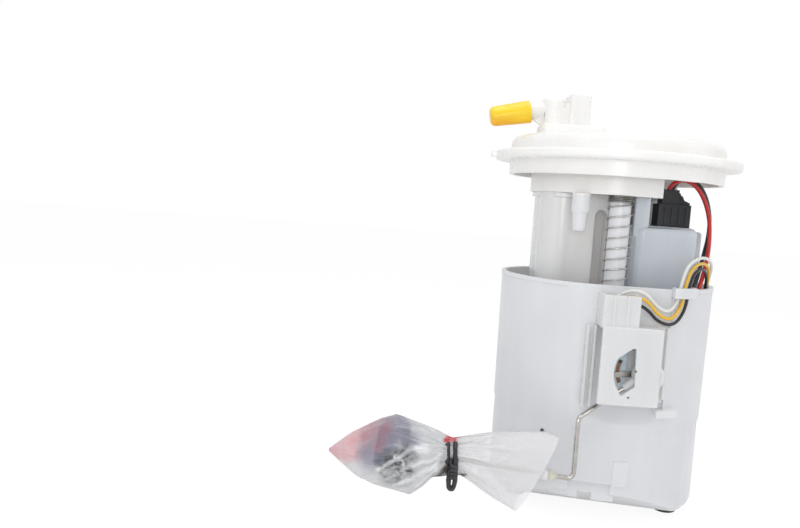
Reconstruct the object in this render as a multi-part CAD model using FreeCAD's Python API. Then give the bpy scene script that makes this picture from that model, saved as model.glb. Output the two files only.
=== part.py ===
import FreeCAD, Part
import math
import os

os.makedirs("parts", exist_ok=True)

# An in-tank fuel pump module. The origin is the centre of the flange's seat, where the ring's underside
# meets the tank, with +Z up and the level sender facing -Y. All sizes are in millimetres.

# Flange cover
ring_reach = 8.3
ring_thickness = 5.0
ring_rounding = 1.8
dome_inset = 0.2
dome_rounding = 5.0
cover_top = 13.5
cover_wall = 3.5
skirt_margin = 0.6
skirt_depth = 7.6
skirt_wall = 2.6
index_lug_width = 5.0
index_lug_reach = 2.6
plinth_half_depth = 13.0
plinth_height = 6.5
riser_x = -35.8
riser_radius = 7.0
riser_top = 34.5
nipple_height = 29.4
nipple_drop_degrees = 11.5
nipple_radius = 4.4
nipple_bore_radius = 2.8
nipple_length = 32.0
barb_height = 0.6
barb_length = 4.0
shroud_left = -28.8
shroud_right = -17.5
shroud_half_depth = 9.0
shroud_top = 36.5
shroud_wall = 1.6
pin_count = 5
pin_pitch = 3.0
pin_radius = 0.6
pin_reach = 8.0
gland_degrees = 37.8
gland_inset = 6.6
gland_radius = 6.2
gland_height = 6.0

# Vinyl cap on the nipple
cap_start = 13.5
cap_length = 22.0
cap_wall = 1.15
cap_clearance = 0.06
cap_rounding = 2.6

# Collar that closes the filter
lid_overhang = 2.8
lid_bottom = -16.5
lid_right = 33.0
lid_wall = 2.2
pocket_left = 15.0
pocket_front = -8.0
prong_degrees = -123.2
prong_outset = 0.8
prong_radius = 4.65
prong_step = 9.2
prong_length = 19.5

# C-shaped filter canister and its pleated element
canister_gap = 11.4
canister_end_radius = 12.3
canister_wall = 2.0
canister_height = 105.5
canister_start_degrees = 36.0
canister_stop_degrees = 203.0
canister_lip = 1.6
canister_lip_depth = 2.4
lobe_x = -29.3
lobe_y = -13.5
column_left = -27.0
column_right = -6.5
column_front = -25.5
column_back = -10.0
arch_width = 6.4
arch_wall = 1.3
arch_top = -24.3
arch_depth = 9.0
pleat_count = 26
pleat_depth = 4.5
element_clearance = 1.2

# Guides and spring
front_rod_x = -4.8
front_rod_inset = 12.0
front_rod_radius = 5.3
rear_rod_radius = 3.4
sleeve_bite = 0.3
guide_clearance = 0.07
sleeve_top = -80.0
sleeve_length = 22.0
sleeve_wall = 1.8
travel = 22.0
stop_gap = 0.2
stop_head_height = 5.0
stop_head_lip = 0.9
spring_wire = 0.8
spring_mean_radius = 6.1
spring_turns = 11

# Pump holder
holder_left = 3.5
holder_width = 36.0
holder_inset = 20.2
holder_depth = 36.0
holder_top = -30.5
holder_lift = 4.0
holder_wall = 1.6
holder_corner = 8.0
holder_crown = 4.0
post_width = 8.0
post_thickness = 3.0
wing_reach = 9.5
wing_thickness = 2.0
wing_length = 40.0

# Pump
pump_radius = 15.5
pump_head_room = 15.5
pump_lift = 10.0
case_wall = 1.0
end_cap_height = 9.0
outlet_radius = 4.2
outlet_bore_radius = 2.6
inlet_cover_height = 5.0
inlet_radius = 4.0
inlet_length = 6.0
partition_thickness = 2.5
shaft_radius = 1.6
bearing_clearance = 0.05
core_radius = 10.4
brush_room = 8.5
core_slots = 8
commutator_radius = 6.0
commutator_length = 7.0
impeller_radius = 13.0
impeller_thickness = 3.2
impeller_vanes = 20
impeller_clearance = 0.25
magnet_thickness = 2.4
magnet_half_angle = 62.0
cushion_height = 8.0
strainer_half_length = 26.0
strainer_half_width = 22.0
strainer_thickness = 9.0
strainer_gap = 1.0

# Plug on the pump
plug_left = 17.6
plug_width = 17.0
plug_front = -28.0
plug_depth = 11.0
plug_step = -18.8
plug_top = -11.2
plug_neck_left = 19.4
plug_neck_width = 8.8
plug_hole_depth = 6.4

# Valve, regulator and jet pump
valve_radius = 2.0
valve_travel = 1.5
regulator_x = -24.0
regulator_y = 10.0
regulator_radius = 9.0
regulator_height = 12.0
regulator_lip = 1.8
clip_thickness = 1.0
jet_x = -22.0
jet_y = -8.0
jet_length = 30.0
jet_height = 11.0
umbrella_y = 26.0
umbrella_radius = 8.0

# Reservoir cup
cup_rim = -61.0
cup_room = 56.0
cup_rim_radius = 56.6
cup_taper = 1.4
cup_wall = 2.0
cup_floor = 2.4
cup_corner = 4.0
lip_height = 2.2
lip_reach = 0.4
ledge_height = 46.0
ledge_step = 0.6
flat_depth = 4.6
shelf_gap = 4.5
shelf_drop = 10.0
chamfer_start = 30.4
chamfer_slope = 0.527
chamfer_turn_degrees = -10.5
foot_radius = 6.0
foot_height = 3.5
foot_stud_radius = 2.0
foot_stud_length = 1.2
vent_radius = 0.9
vent_x = -35.4
vent_height = 39.3
foot_inset = 10.8
foot_degrees = (-35.8, 98.0)
white_foot_degrees = 198.4
lug_foot = 8.6
lug_height = 18.0
tab_foot = 16.7
tab_height = 29.6
lead_clip_bottom = -65.0
lead_clip_height = 5.2
lead_clip_gap = 3.0
lead_clip_thickness = 1.6
lead_clip_left = 20.5
lead_clip_right = 34.0
guard_gap = 3.1
guard_height = 4.0
lead_clip_rib = 1.2

# Level sender
sender_left = -15.0
sender_right = 14.4
sender_top = -79.5
sender_bottom = -117.5
sender_depth = 14.0
sender_wall = 1.8
sender_back_wall = 2.2
top_block_left = -15.5
top_block_right = 2.6
top_block_height = 15.0
top_block_inset = 1.5
left_wing = 5.3
left_wing_drop = 1.3
left_wing_overhang = 4.0
right_wing = 5.6
lobe_reach = 8.2
pivot_x = 8.4
pivot_z = -102.8
pivot_radius = 1.8
pivot_clearance = 0.06
window_left = -8.2
window_right = 2.5
window_top = -89.5
window_bottom = -113.0
window_slope = 4.8
hub_radius = 6.0
hub_thickness = 4.0
card_thickness = 0.8
strip_thickness = 0.25

# Float arm
arm_wire_radius = 1.15
arm_bend_radius = 3.0
arm_stand = 8.8
arm_offset = 9.2
arm_exit_x = -13.6
arm_exit_z = -119.4
arm_bend_x = -24.1
arm_first_bend_z = -123.9
arm_second_bend_z = -153.8
arm_end_x = -119.0
arm_end_z = -143.8
bead_x = -36.3
bead_length = 8.0
bead_radius = 2.6
float_x = -105.0
float_length = 29.0
float_height = 18.6
float_depth = 14.0
float_clearance = 0.05

# Film bag on the float
film_thickness = 0.5
bag_fullness = 0.8
bag_clearance = 0.35
tie_x = -81.5
tie_width = 3.6
tie_thickness = 1.6
tie_tail = 13.0
tie_stub = 6.0

# Leads
pump_lead_diameter = 2.2
sender_lead_diameter = 1.6

# Sizes that follow from those above
cup_base_radius = cup_rim_radius - cup_taper
skirt_radius = cup_rim_radius + skirt_margin
flange_radius = skirt_radius + ring_reach
dome_radius = skirt_radius - dome_inset
gland_reach = skirt_radius - gland_inset
gland_x = gland_reach * math.cos(math.radians(gland_degrees))
gland_y = gland_reach * math.sin(math.radians(gland_degrees))
canister_radius = cup_base_radius - cup_wall - canister_gap
canister_bottom = lid_bottom - canister_height
lid_radius = canister_radius + lid_overhang
prong_reach = lid_radius + prong_outset
prong_x = prong_reach * math.cos(math.radians(prong_degrees))
prong_y = prong_reach * math.sin(math.radians(prong_degrees))
flat_distance = cup_rim_radius - flat_depth
front_rod_y = -(flat_distance - cup_wall - front_rod_inset)
rear_rod_y = cup_base_radius - cup_wall - sleeve_wall - guide_clearance - rear_rod_radius + sleeve_bite
holder_front = -(cup_base_radius - cup_wall - holder_inset)
holder_bottom = canister_bottom + holder_lift
pump_bottom = canister_bottom + pump_lift
pump_top = holder_top - pump_head_room
cup_bottom = canister_bottom - cup_room
ledge_z = cup_bottom + ledge_height
shelf_top = sender_bottom - shelf_gap
sender_front = -flat_distance - sender_depth
top_block_front = sender_front + top_block_inset
arm_y = -flat_distance - arm_stand
arm_outer_y = arm_y - arm_offset
ceiling = cover_top - cover_wall
plinth_top = cover_top + plinth_height
holder_right = holder_left + holder_width
holder_back = holder_front + holder_depth
pump_x = holder_left + holder_width / 2
pump_y = holder_front + holder_depth / 2
sleeve_bottom = sleeve_top - sleeve_length
cup_inner_floor = cup_bottom + cup_floor
barb_radius = nipple_radius + barb_height
cap_bore_radius = barb_radius + cap_clearance
neck_radius = arm_wire_radius + bag_clearance + film_thickness


def at(x, y, z):
    return FreeCAD.Vector(x, y, z)


def rod(x, y, radius, low, high):
    """A round rod along Z."""
    return Part.makeCylinder(radius, high - low, at(x, y, low))


def cross_rod(x, z, radius, front, back):
    """A round rod along Y."""
    return Part.makeCylinder(radius, back - front, at(x, front, z), at(0, 1, 0))


def block(x0, x1, y0, y1, z0, z1):
    return Part.makeBox(x1 - x0, y1 - y0, z1 - z0, at(x0, y0, z0))


def turned(outline, x=0, y=0):
    """An outline of (radius, height) points turned about a vertical axis."""
    points = [at(radius, 0, height) for radius, height in outline]
    solid = Part.Face(Part.makePolygon(points + points[:1])).revolve(at(0, 0, 0), at(0, 0, 1), 360)
    solid.translate(at(x, y, 0))
    return solid


def slab(outline, low, high):
    """An outline of (x, y) points raised along Z."""
    points = [at(x, y, low) for x, y in outline]
    return Part.Face(Part.makePolygon(points + points[:1])).extrude(at(0, 0, high - low))


def panel(outline, front, back):
    """An outline of (x, z) points carried back along Y."""
    points = [at(x, front, z) for x, z in outline]
    return Part.Face(Part.makePolygon(points + points[:1])).extrude(at(0, back - front, 0))


def joined(first, *others):
    return first.fuse(list(others)).removeSplitter()


def rounded(solid, radius, wanted):
    """Rounds the edges that the test picks."""
    return solid.makeFillet(radius, [edge for edge in solid.Edges if wanted(edge)])


def upright(edge):
    """True for a straight edge along Z."""
    ends = [vertex.Point for vertex in edge.Vertexes]
    return len(ends) == 2 and math.hypot(ends[0].x - ends[1].x, ends[0].y - ends[1].y) < 0.001


def level_at(height):
    """A test for edges that lie flat at that height."""
    return lambda edge: abs(edge.BoundBox.ZMin - height) < 0.001 and edge.BoundBox.ZLength < 0.001


def ring_at(radius, height):
    """A test for full circles of that radius and height."""
    level = level_at(height)
    return lambda edge: level(edge) and abs(edge.BoundBox.XLength - 2 * radius) < 0.01


def save(name, shape):
    shape.exportStep("parts/" + name + ".step")


def along_nipple(shape):
    """Turns a shape made up the Z axis to point along the nipple, from the riser's centre line."""
    shape.rotate(at(0, 0, 0), at(0, 1, 0), -90 - nipple_drop_degrees)
    shape.translate(at(riser_x, 0, nipple_height))
    return shape


def nipple_form():
    """The barbed nipple, its bore, and the cone of each barb."""
    outline = [(nipple_bore_radius, 0), (nipple_radius, 0)]
    for count in (3, 2, 1):
        foot = nipple_length - count * barb_length
        outline += [(nipple_radius, foot), (barb_radius, foot), (nipple_radius, foot + barb_length)]
    outline += [(nipple_bore_radius, nipple_length)]
    return along_nipple(turned(outline))


def terminal_places():
    middle = (shroud_left + shroud_right) / 2
    return [(middle, (index - (pin_count - 1) / 2) * pin_pitch) for index in range(pin_count)]


def make_flange_cover():
    inner = skirt_radius - skirt_wall
    body = turned([
        (0, cover_top), (dome_radius, cover_top), (dome_radius, ring_thickness),
        (flange_radius, ring_thickness), (flange_radius, 0), (skirt_radius, 0),
        (skirt_radius, -skirt_depth), (inner, -skirt_depth), (inner, ceiling), (0, ceiling),
    ])
    body = rounded(body, dome_rounding, ring_at(dome_radius, cover_top))
    body = rounded(body, ring_rounding, ring_at(flange_radius, ring_thickness))
    body = rounded(body, ring_rounding, ring_at(flange_radius, 0))
    lug = block(-flange_radius - index_lug_reach, -flange_radius + 2 * ring_rounding,
                -index_lug_width / 2, index_lug_width / 2, ring_rounding / 2, ring_thickness - ring_rounding / 2)
    plinth = block(riser_x - riser_radius, shroud_right + 7.5, -plinth_half_depth, plinth_half_depth,
                   ceiling + 1, plinth_top)
    plinth = rounded(plinth, 3.0, upright)
    plinth = rounded(plinth, 1.2, level_at(plinth_top))
    riser = rounded(rod(riser_x, 0, riser_radius, ceiling + 1, riser_top), 2.4,
                    level_at(riser_top))
    shroud = block(shroud_left, shroud_right, -shroud_half_depth, shroud_half_depth, ceiling + 1, shroud_top)
    shroud = rounded(shroud, 2.0, upright)
    bridge = block(riser_x, shroud_left + 1, -shroud_half_depth + 2.5, shroud_half_depth - 2.5,
                   ceiling + 1, riser_top - 2.4)
    reach = riser_radius + 4.6
    under = nipple_height - reach * math.tan(math.radians(nipple_drop_degrees))
    gusset = panel([(riser_x, ceiling + 1), (riser_x, nipple_height), (riser_x - reach, under),
                    (riser_x - reach, under - nipple_radius), (riser_x - riser_radius - 0.5, plinth_top)],
                   -1.5, 1.5)
    gland = rod(gland_x, gland_y, gland_radius, ceiling - gland_height, ceiling + 1)
    gland = gland.common(rod(0, 0, inner + 1, ceiling - gland_height - 1, ceiling + 2))
    core = along_nipple(Part.makeCylinder(nipple_radius, riser_radius))
    body = joined(body, lug, plinth, riser, shroud, bridge, gusset, gland, core, nipple_form())
    socket = block(shroud_left + shroud_wall, shroud_right - shroud_wall,
                   -shroud_half_depth + shroud_wall, shroud_half_depth - shroud_wall,
                   plinth_top, shroud_top + 1)
    bore = along_nipple(Part.makeCylinder(nipple_bore_radius, nipple_length + 1))
    down = rod(riser_x, 0, nipple_bore_radius, ceiling - 1, nipple_height)
    latch_slot = block(riser_x + 3.6, riser_x + 5.2, -shroud_half_depth, -shroud_half_depth + 4.0,
                       plinth_top + 9.5, plinth_top + 13.0)
    body = body.cut([socket, bore, down, latch_slot])
    pins = [rod(x, y, pin_radius, ceiling - 1, plinth_top + 1) for x, y in terminal_places()]
    save("flange_cover", body.cut(pins).removeSplitter())


def make_terminals():
    pins = []
    for x, y in terminal_places():
        pin = rod(x, y, pin_radius, ceiling - 3, plinth_top + pin_reach)
        pins.append(rounded(pin, pin_radius * 0.6, level_at(plinth_top + pin_reach)))
    save("connector_terminals", Part.makeCompound(pins))


def make_cap():
    """A dipped vinyl cap, closed and rounded at its far end."""
    outer = cap_bore_radius + cap_wall
    far = cap_start + cap_length
    bore_end = nipple_length + 0.6
    solid = turned([(0, cap_start), (outer, cap_start), (outer - 0.9, far), (0, far)])
    solid = rounded(solid, cap_rounding, ring_at(outer - 0.9, far))
    bore = Part.makeCylinder(cap_bore_radius, bore_end - cap_start + 1, at(0, 0, cap_start - 1))
    save("outlet_cap", along_nipple(solid.cut(bore)))


def lid_form(inset, low, high):
    """The collar's D outline, with the pocket for the plug, drawn in from all sides."""
    form = rod(0, 0, lid_radius - inset, low, high)
    form = form.cut(block(lid_right - inset, lid_radius, -lid_radius, lid_radius, low, high))
    return form.cut(block(pocket_left - inset, lid_radius, -lid_radius, pocket_front + inset, low, high))


def make_filter_lid():
    shell = lid_form(0, lid_bottom, ceiling).cut(lid_form(lid_wall, lid_bottom + lid_wall, ceiling))
    step = lid_bottom - prong_step
    end = lid_bottom - prong_length
    prong = turned([(0, lid_bottom), (prong_radius, lid_bottom), (prong_radius, step),
                    (prong_radius - 0.9, step - 1.2), (prong_radius - 1.3, end + 0.8),
                    (prong_radius - 2.1, end), (0, end)], prong_x, prong_y)
    save("filter_lid", joined(shell, prong))


def c_form(inset, low, high):
    """The half-moon outline of the filter: a band about the axis with rounded ends and a front lobe."""
    middle = canister_radius - canister_end_radius
    band = rod(0, 0, canister_radius - inset, low, high)
    band = band.cut(rod(0, 0, middle - canister_end_radius + inset, low, high))
    reach = 3 * canister_radius
    turns = [canister_start_degrees + share * (canister_stop_degrees - canister_start_degrees) / 3
             for share in range(4)]
    fan = [(0, 0)] + [(reach * math.cos(math.radians(a)), reach * math.sin(math.radians(a))) for a in turns]
    form = band.common(slab(fan, low, high))
    for a in (canister_start_degrees, canister_stop_degrees):
        x = middle * math.cos(math.radians(a))
        y = middle * math.sin(math.radians(a))
        form = form.fuse(rod(x, y, canister_end_radius - inset, low, high))
    return form.fuse(rod(lobe_x, lobe_y, canister_end_radius - inset, low, high)).removeSplitter()


def make_canister():
    outer = c_form(0, canister_bottom, lid_bottom)
    column = block(column_left, column_right, column_front, column_back, canister_bottom, lid_bottom)
    column = rounded(column, 2.5, lambda edge: upright(edge) and edge.BoundBox.XMin > column_right - 0.1)
    lip = c_form(-canister_lip, lid_bottom - canister_lip_depth, lid_bottom)
    lip = lip.common(rod(0, 0, lid_radius - 0.8, lid_bottom - canister_lip_depth, lid_bottom))
    arch_right = column_right - arch_wall
    arch_left = arch_right - arch_width
    crown = arch_top - arch_width / 2
    back = column_front + arch_depth
    arch = block(arch_left, arch_right, column_front, back, canister_bottom, crown)
    arch = arch.fuse(cross_rod(arch_right - arch_width / 2, crown, arch_width / 2, column_front, back))
    inner = c_form(canister_wall, canister_bottom + canister_wall, lid_bottom)
    body = joined(outer, column, lip).cut(arch).cut(inner)
    save("filter_canister", body.removeSplitter())


def make_filter_element():
    """Pleated paper: a zigzag outside and a plain curve inside, bent to the canister."""
    gap = canister_wall + element_clearance
    outside = canister_radius - gap
    inside = canister_radius - 2 * canister_end_radius + gap
    first = canister_start_degrees
    sweep = canister_stop_degrees - first
    outline = []
    for index in range(2 * pleat_count + 1):
        a = math.radians(first + sweep * index / (2 * pleat_count))
        radius = outside - pleat_depth * (index % 2)
        outline.append((radius * math.cos(a), radius * math.sin(a)))
    for index in range(pleat_count, -1, -1):
        a = math.radians(first + sweep * index / pleat_count)
        outline.append((inside * math.cos(a), inside * math.sin(a)))
    low = canister_bottom + canister_wall
    save("filter_element", slab(outline, low, lid_bottom))


def guide_rod(x, y, radius, top):
    """A rod with a split snap head that stops the cup under its sleeve."""
    stop = sleeve_bottom - stop_gap
    head = radius + stop_head_lip
    shape = turned([(0, top), (radius, top), (radius, stop), (head, stop), (head, stop - 1.6),
                    (radius - 0.8, stop - stop_head_height), (0, stop - stop_head_height)], x, y)
    slot = block(x - radius * 0.25, x + radius * 0.25, y - head, y + head, stop - stop_head_height, stop - 0.5)
    return shape.cut(slot)


def make_guides():
    save("front_guide_rod", guide_rod(front_rod_x, front_rod_y, front_rod_radius, lid_bottom))
    save("rear_guide_rod", guide_rod(0, rear_rod_y, rear_rod_radius, ceiling))


def make_spring():
    """Open coils between the collar and the guide sleeve, with a closed coil at each end."""
    low = sleeve_top + 1.6 * spring_wire
    high = lid_bottom - 4.6 * spring_wire
    pitch = (high - low) / spring_turns
    helix = Part.makeHelix(pitch, high - low, spring_mean_radius)
    section = Part.Wire(Part.makeCircle(spring_wire / 2, at(spring_mean_radius, 0, 0), at(0, 1, 0)))
    coil = Part.Wire(helix).makePipeShell([section], True, True)
    coil.translate(at(front_rod_x, front_rod_y, low))
    parts = [coil]
    for level in (sleeve_top + 0.52 * spring_wire, lid_bottom - 0.52 * spring_wire,
                  lid_bottom - 1.6 * spring_wire, lid_bottom - 2.7 * spring_wire, lid_bottom - 3.8 * spring_wire):
        parts.append(Part.makeTorus(spring_mean_radius, spring_wire / 2, at(front_rod_x, front_rod_y, level)))
    save("front_spring", Part.makeCompound(parts))


def holder_form(inset, low, high):
    form = block(holder_left + inset, holder_right - inset, holder_front + inset, holder_back - inset, low, high)
    return rounded(form, holder_corner - inset, upright)


def make_pump_holder():
    outer = rounded(holder_form(0, holder_bottom, holder_top), holder_crown, level_at(holder_top))
    inner = holder_form(holder_wall, holder_bottom, holder_top - holder_wall)
    inner = rounded(inner, holder_crown - holder_wall, level_at(holder_top - holder_wall))
    post = block(holder_left + 1.0, holder_left + 1.0 + post_width, holder_front + 1.5,
                 holder_front + 1.5 + post_thickness, holder_top - 6, lid_bottom)
    post = rounded(post, 1.0, upright)
    wing = block(holder_right - 1, holder_right + wing_reach, pump_y + 8, pump_y + 8 + wing_thickness,
                 holder_top - wing_length, holder_top - 2)
    wing = rounded(wing, 2.0, lambda edge: abs(edge.BoundBox.YLength - wing_thickness) < 0.001
                   and edge.BoundBox.XMin > holder_right)
    plug_hole = block(plug_left + 1.5, plug_left + plug_width - 1.5, plug_front + 1.5,
                      plug_front + plug_depth - 1.5, holder_top - 8, holder_top + 1)
    outlet_hole = rod(pump_x - 8, pump_y + 9, outlet_radius + 0.3, holder_top - 8, holder_top + 1)
    body = joined(outer, wing, post).cut(inner).cut([plug_hole, outlet_hole])
    save("pump_holder", body.removeSplitter())


def make_pump():
    bearing = shaft_radius + bearing_clearance
    case = rod(pump_x, pump_y, pump_radius, pump_bottom, pump_top)
    case = case.cut(rod(pump_x, pump_y, pump_radius - case_wall, pump_bottom, pump_top))
    save("pump_case", case)
    cap_top = pump_top + end_cap_height
    cap = rounded(rod(pump_x, pump_y, pump_radius, pump_top, cap_top), 1.5, level_at(cap_top))
    spigot = rod(pump_x - 8, pump_y + 9, outlet_radius, cap_top - 1, holder_top)
    socket = block(plug_left + 1.6, plug_left + plug_width - 1.6, plug_front + 1.6,
                   plug_front + plug_depth - 1.6, cap_top - 1, holder_top)
    cap = joined(cap, spigot, socket)
    cap = cap.cut(rod(pump_x - 8, pump_y + 9, outlet_bore_radius, pump_top + 3, holder_top))
    save("pump_end_cap", cap.cut(rod(pump_x, pump_y, bearing, pump_top, pump_top + 6)))
    low = pump_bottom - inlet_cover_height
    chamber = impeller_radius + impeller_clearance
    cover = rounded(rod(pump_x, pump_y, pump_radius, low, pump_bottom), 1.0, level_at(low))
    cover = cover.fuse(rod(pump_x, pump_y, inlet_radius, low - inlet_length, low + 1)).removeSplitter()
    floor = pump_bottom - impeller_thickness - 2 * impeller_clearance
    cover = cover.cut(rod(pump_x, pump_y, chamber, floor, pump_bottom))
    cover = cover.cut(rod(pump_x, pump_y, inlet_radius - 1.2, low - inlet_length, floor))
    save("pump_inlet_cover", cover)
    partition = rod(pump_x, pump_y, pump_radius - case_wall, pump_bottom, pump_bottom + partition_thickness)
    save("pump_partition", partition.cut(rod(pump_x, pump_y, bearing, pump_bottom,
                                             pump_bottom + partition_thickness)))
    reach = holder_width / 2 - holder_wall
    cushion = rod(pump_x, pump_y, reach, pump_bottom + 2, pump_bottom + 2 + cushion_height)
    for index in range(8):
        a = math.radians(45 * index + 22.5)
        cushion = cushion.cut(rod(pump_x + reach * math.cos(a), pump_y + reach * math.sin(a), 0.7,
                                  pump_bottom + 2, pump_bottom + 2 + cushion_height))
    save("pump_cushion", cushion.cut(rod(pump_x, pump_y, pump_radius, pump_bottom + 2,
                                         pump_bottom + 2 + cushion_height)))


def core_levels():
    """The core's ends: above the partition, and below the commutator and the brushes."""
    return pump_bottom + partition_thickness + 12, pump_top - brush_room - commutator_length - 2


def make_pump_rotor():
    low, high = core_levels()
    shaft = rod(pump_x, pump_y, shaft_radius, pump_bottom - impeller_clearance - impeller_thickness, pump_top + 5)
    core = rod(pump_x, pump_y, core_radius, low, high)
    for index in range(core_slots):
        a = 360 * index / core_slots
        slot = block(core_radius - 5, core_radius + 1, -0.9, 0.9, low, high)
        slot.rotate(at(0, 0, 0), at(0, 0, 1), a)
        slot.translate(at(pump_x, pump_y, 0))
        core = core.cut(slot)
    commutator = rod(pump_x, pump_y, commutator_radius, high + 2, high + 2 + commutator_length)
    neck = rod(pump_x, pump_y, commutator_radius - 2.5, high, high + 2)
    save("pump_armature", joined(shaft, core, neck, commutator))
    top = pump_bottom - impeller_clearance
    wheel = rod(pump_x, pump_y, impeller_radius, top - impeller_thickness, top)
    for index in range(impeller_vanes):
        notch = block(impeller_radius - 2.2, impeller_radius + 1, -0.8, 0.8, top - impeller_thickness, top)
        notch.rotate(at(0, 0, 0), at(0, 0, 1), 360 * index / impeller_vanes)
        notch.translate(at(pump_x, pump_y, 0))
        wheel = wheel.cut(notch)
    save("pump_impeller", wheel.cut(rod(pump_x, pump_y, shaft_radius, top - impeller_thickness, top)))


def make_magnets():
    low, high = core_levels()
    outer = pump_radius - case_wall
    ring = rod(pump_x, pump_y, outer, low - 2, high + 2)
    ring = ring.cut(rod(pump_x, pump_y, outer - magnet_thickness, low - 2, high + 2))
    arcs = []
    for facing in (0, 180):
        turns = [facing - magnet_half_angle, facing, facing + magnet_half_angle]
        wedge = [(pump_x, pump_y)]
        for a in turns:
            wedge.append((pump_x + 60 * math.cos(math.radians(a)), pump_y + 60 * math.sin(math.radians(a))))
        arcs.append(ring.common(slab(wedge, low - 2, high + 2)))
    save("pump_magnets", Part.makeCompound(arcs))


def make_strainer():
    """A pillow of mesh cloth on a stiff spine, pushed onto the pump's inlet."""
    top = pump_bottom - inlet_cover_height - inlet_length + strainer_gap
    middle = top - strainer_thickness / 2
    pillow = Part.makeSphere(1.0)
    stretch = FreeCAD.Matrix()
    stretch.scale(strainer_half_length, strainer_half_width, strainer_thickness / 2)
    pillow = pillow.transformGeometry(stretch)
    pillow.translate(at(pump_x - 3, pump_y, middle - 1.5))
    collar = rod(pump_x, pump_y, inlet_radius + 1.5, middle, top + 2.5)
    inlet_end = pump_bottom - inlet_cover_height - inlet_length
    body = joined(pillow, collar)
    body = body.cut(rod(pump_x, pump_y, inlet_radius, inlet_end, top + 3))
    save("inlet_strainer", body.cut(rod(pump_x, pump_y, inlet_radius - 1.2, middle, inlet_end)))


def make_check_valve():
    """The poppet and light spring that hold pressure in the outlet."""
    x, y = pump_x - 8, pump_y + 9
    seat = pump_top + 3
    poppet = turned([(0, seat), (valve_radius - 0.6, seat), (valve_radius, seat + 1.2), (valve_radius, seat + 4),
                     (0, seat + 4)], x, y)
    save("check_valve", poppet)


def make_regulator():
    top = canister_bottom
    low = top - regulator_height
    body = turned([(0, top), (regulator_radius + regulator_lip, top), (regulator_radius + regulator_lip, top - 2),
                   (regulator_radius, top - 2.6), (regulator_radius, low + 2), (regulator_radius - 2, low),
                   (0, low)], regulator_x, regulator_y)
    save("pressure_regulator", body.cut(rod(regulator_x, regulator_y, 2.0, low, low + 4)))
    inner = regulator_radius + 0.2
    clip = turned([(inner, top - 4), (regulator_radius + 4, top - 4), (regulator_radius + 4, top - 4 - clip_thickness),
                   (inner, top - 4 - clip_thickness)], regulator_x, regulator_y)
    opening = block(regulator_x - 4, regulator_x + 4, regulator_y, regulator_y + 20, low, top)
    save("regulator_clip", clip.cut(opening))


def make_plug():
    right = plug_left + plug_width
    back = plug_front + plug_depth
    lower = rounded(block(plug_left, right, plug_front, back, holder_top, plug_step), 0.8, upright)
    neck_right = plug_neck_left + plug_neck_width
    neck = block(plug_neck_left, neck_right, plug_front + 1.5, back - 1.5, plug_step - 1, plug_top)
    latch = panel([(neck_right - 1, plug_step - 1), (right, plug_step - 1), (right, plug_step + 1.2),
                   (right - 3, plug_step + 2.4), (neck_right + 1.6, plug_top - 1.5), (neck_right - 1, plug_top - 0.5)],
                  plug_front + 3, back - 3)
    ribs = [block(plug_left + 3 + 3.6 * index, plug_left + 4.2 + 3.6 * index, plug_front - 0.6, plug_front + 1,
                  holder_top + 1, plug_step - 1.5) for index in range(4)]
    body = joined(lower, neck, latch, *ribs)
    for x, y in lead_exits():
        body = body.cut(rod(x, y, pump_lead_diameter / 2, plug_top - plug_hole_depth, plug_top + 1))
        relief = pump_lead_diameter / 2 + 0.1
        body = body.cut(block(x, right + 1, y - relief, y + relief, plug_top - 2.9, plug_top + 1))
    save("pump_plug", body)


def lead_exits():
    """Where the pump's two leads leave the plug, red then black."""
    return [(plug_neck_left + 3.0, plug_front + 3.6), (plug_neck_left + 6.0, plug_front + 7.4)]


def lead(name, points, diameter):
    """A lead: straight runs joined by tangent arcs as large as the runs allow."""
    route = [at(*point) for point in points]
    edges = []
    start = route[0]
    length = 0
    radii = []
    for before, corner, after in zip(route, route[1:], route[2:]):
        arrive = (corner - before).normalize()
        leave = (after - corner).normalize()
        turn = arrive.getAngle(leave)
        trim = 0.45 * min((corner - before).Length, (after - corner).Length)
        radii.append(trim / math.tan(turn / 2))
        first = corner - arrive * trim
        last = corner + leave * trim
        inward = (leave - arrive).normalize()
        middle = corner + inward * (radii[-1] / math.cos(turn / 2) - radii[-1])
        edges.append(Part.LineSegment(start, first).toShape())
        edges.append(Part.Arc(first, middle, last).toShape())
        start = last
    edges.append(Part.LineSegment(start, route[-1]).toShape())
    path = Part.Wire(edges)
    circle = Part.Wire(Part.makeCircle(diameter / 2, route[0], route[1] - route[0]))
    tube = path.makePipeShell([circle], True, True)
    share = tube.Volume / (math.pi * diameter ** 2 / 4 * path.Length)
    print(name, "length", round(path.Length, 1), "volume share", round(share, 4),
          "radii", [round(radius, 1) for radius in radii])
    save(name, tube)


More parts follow.
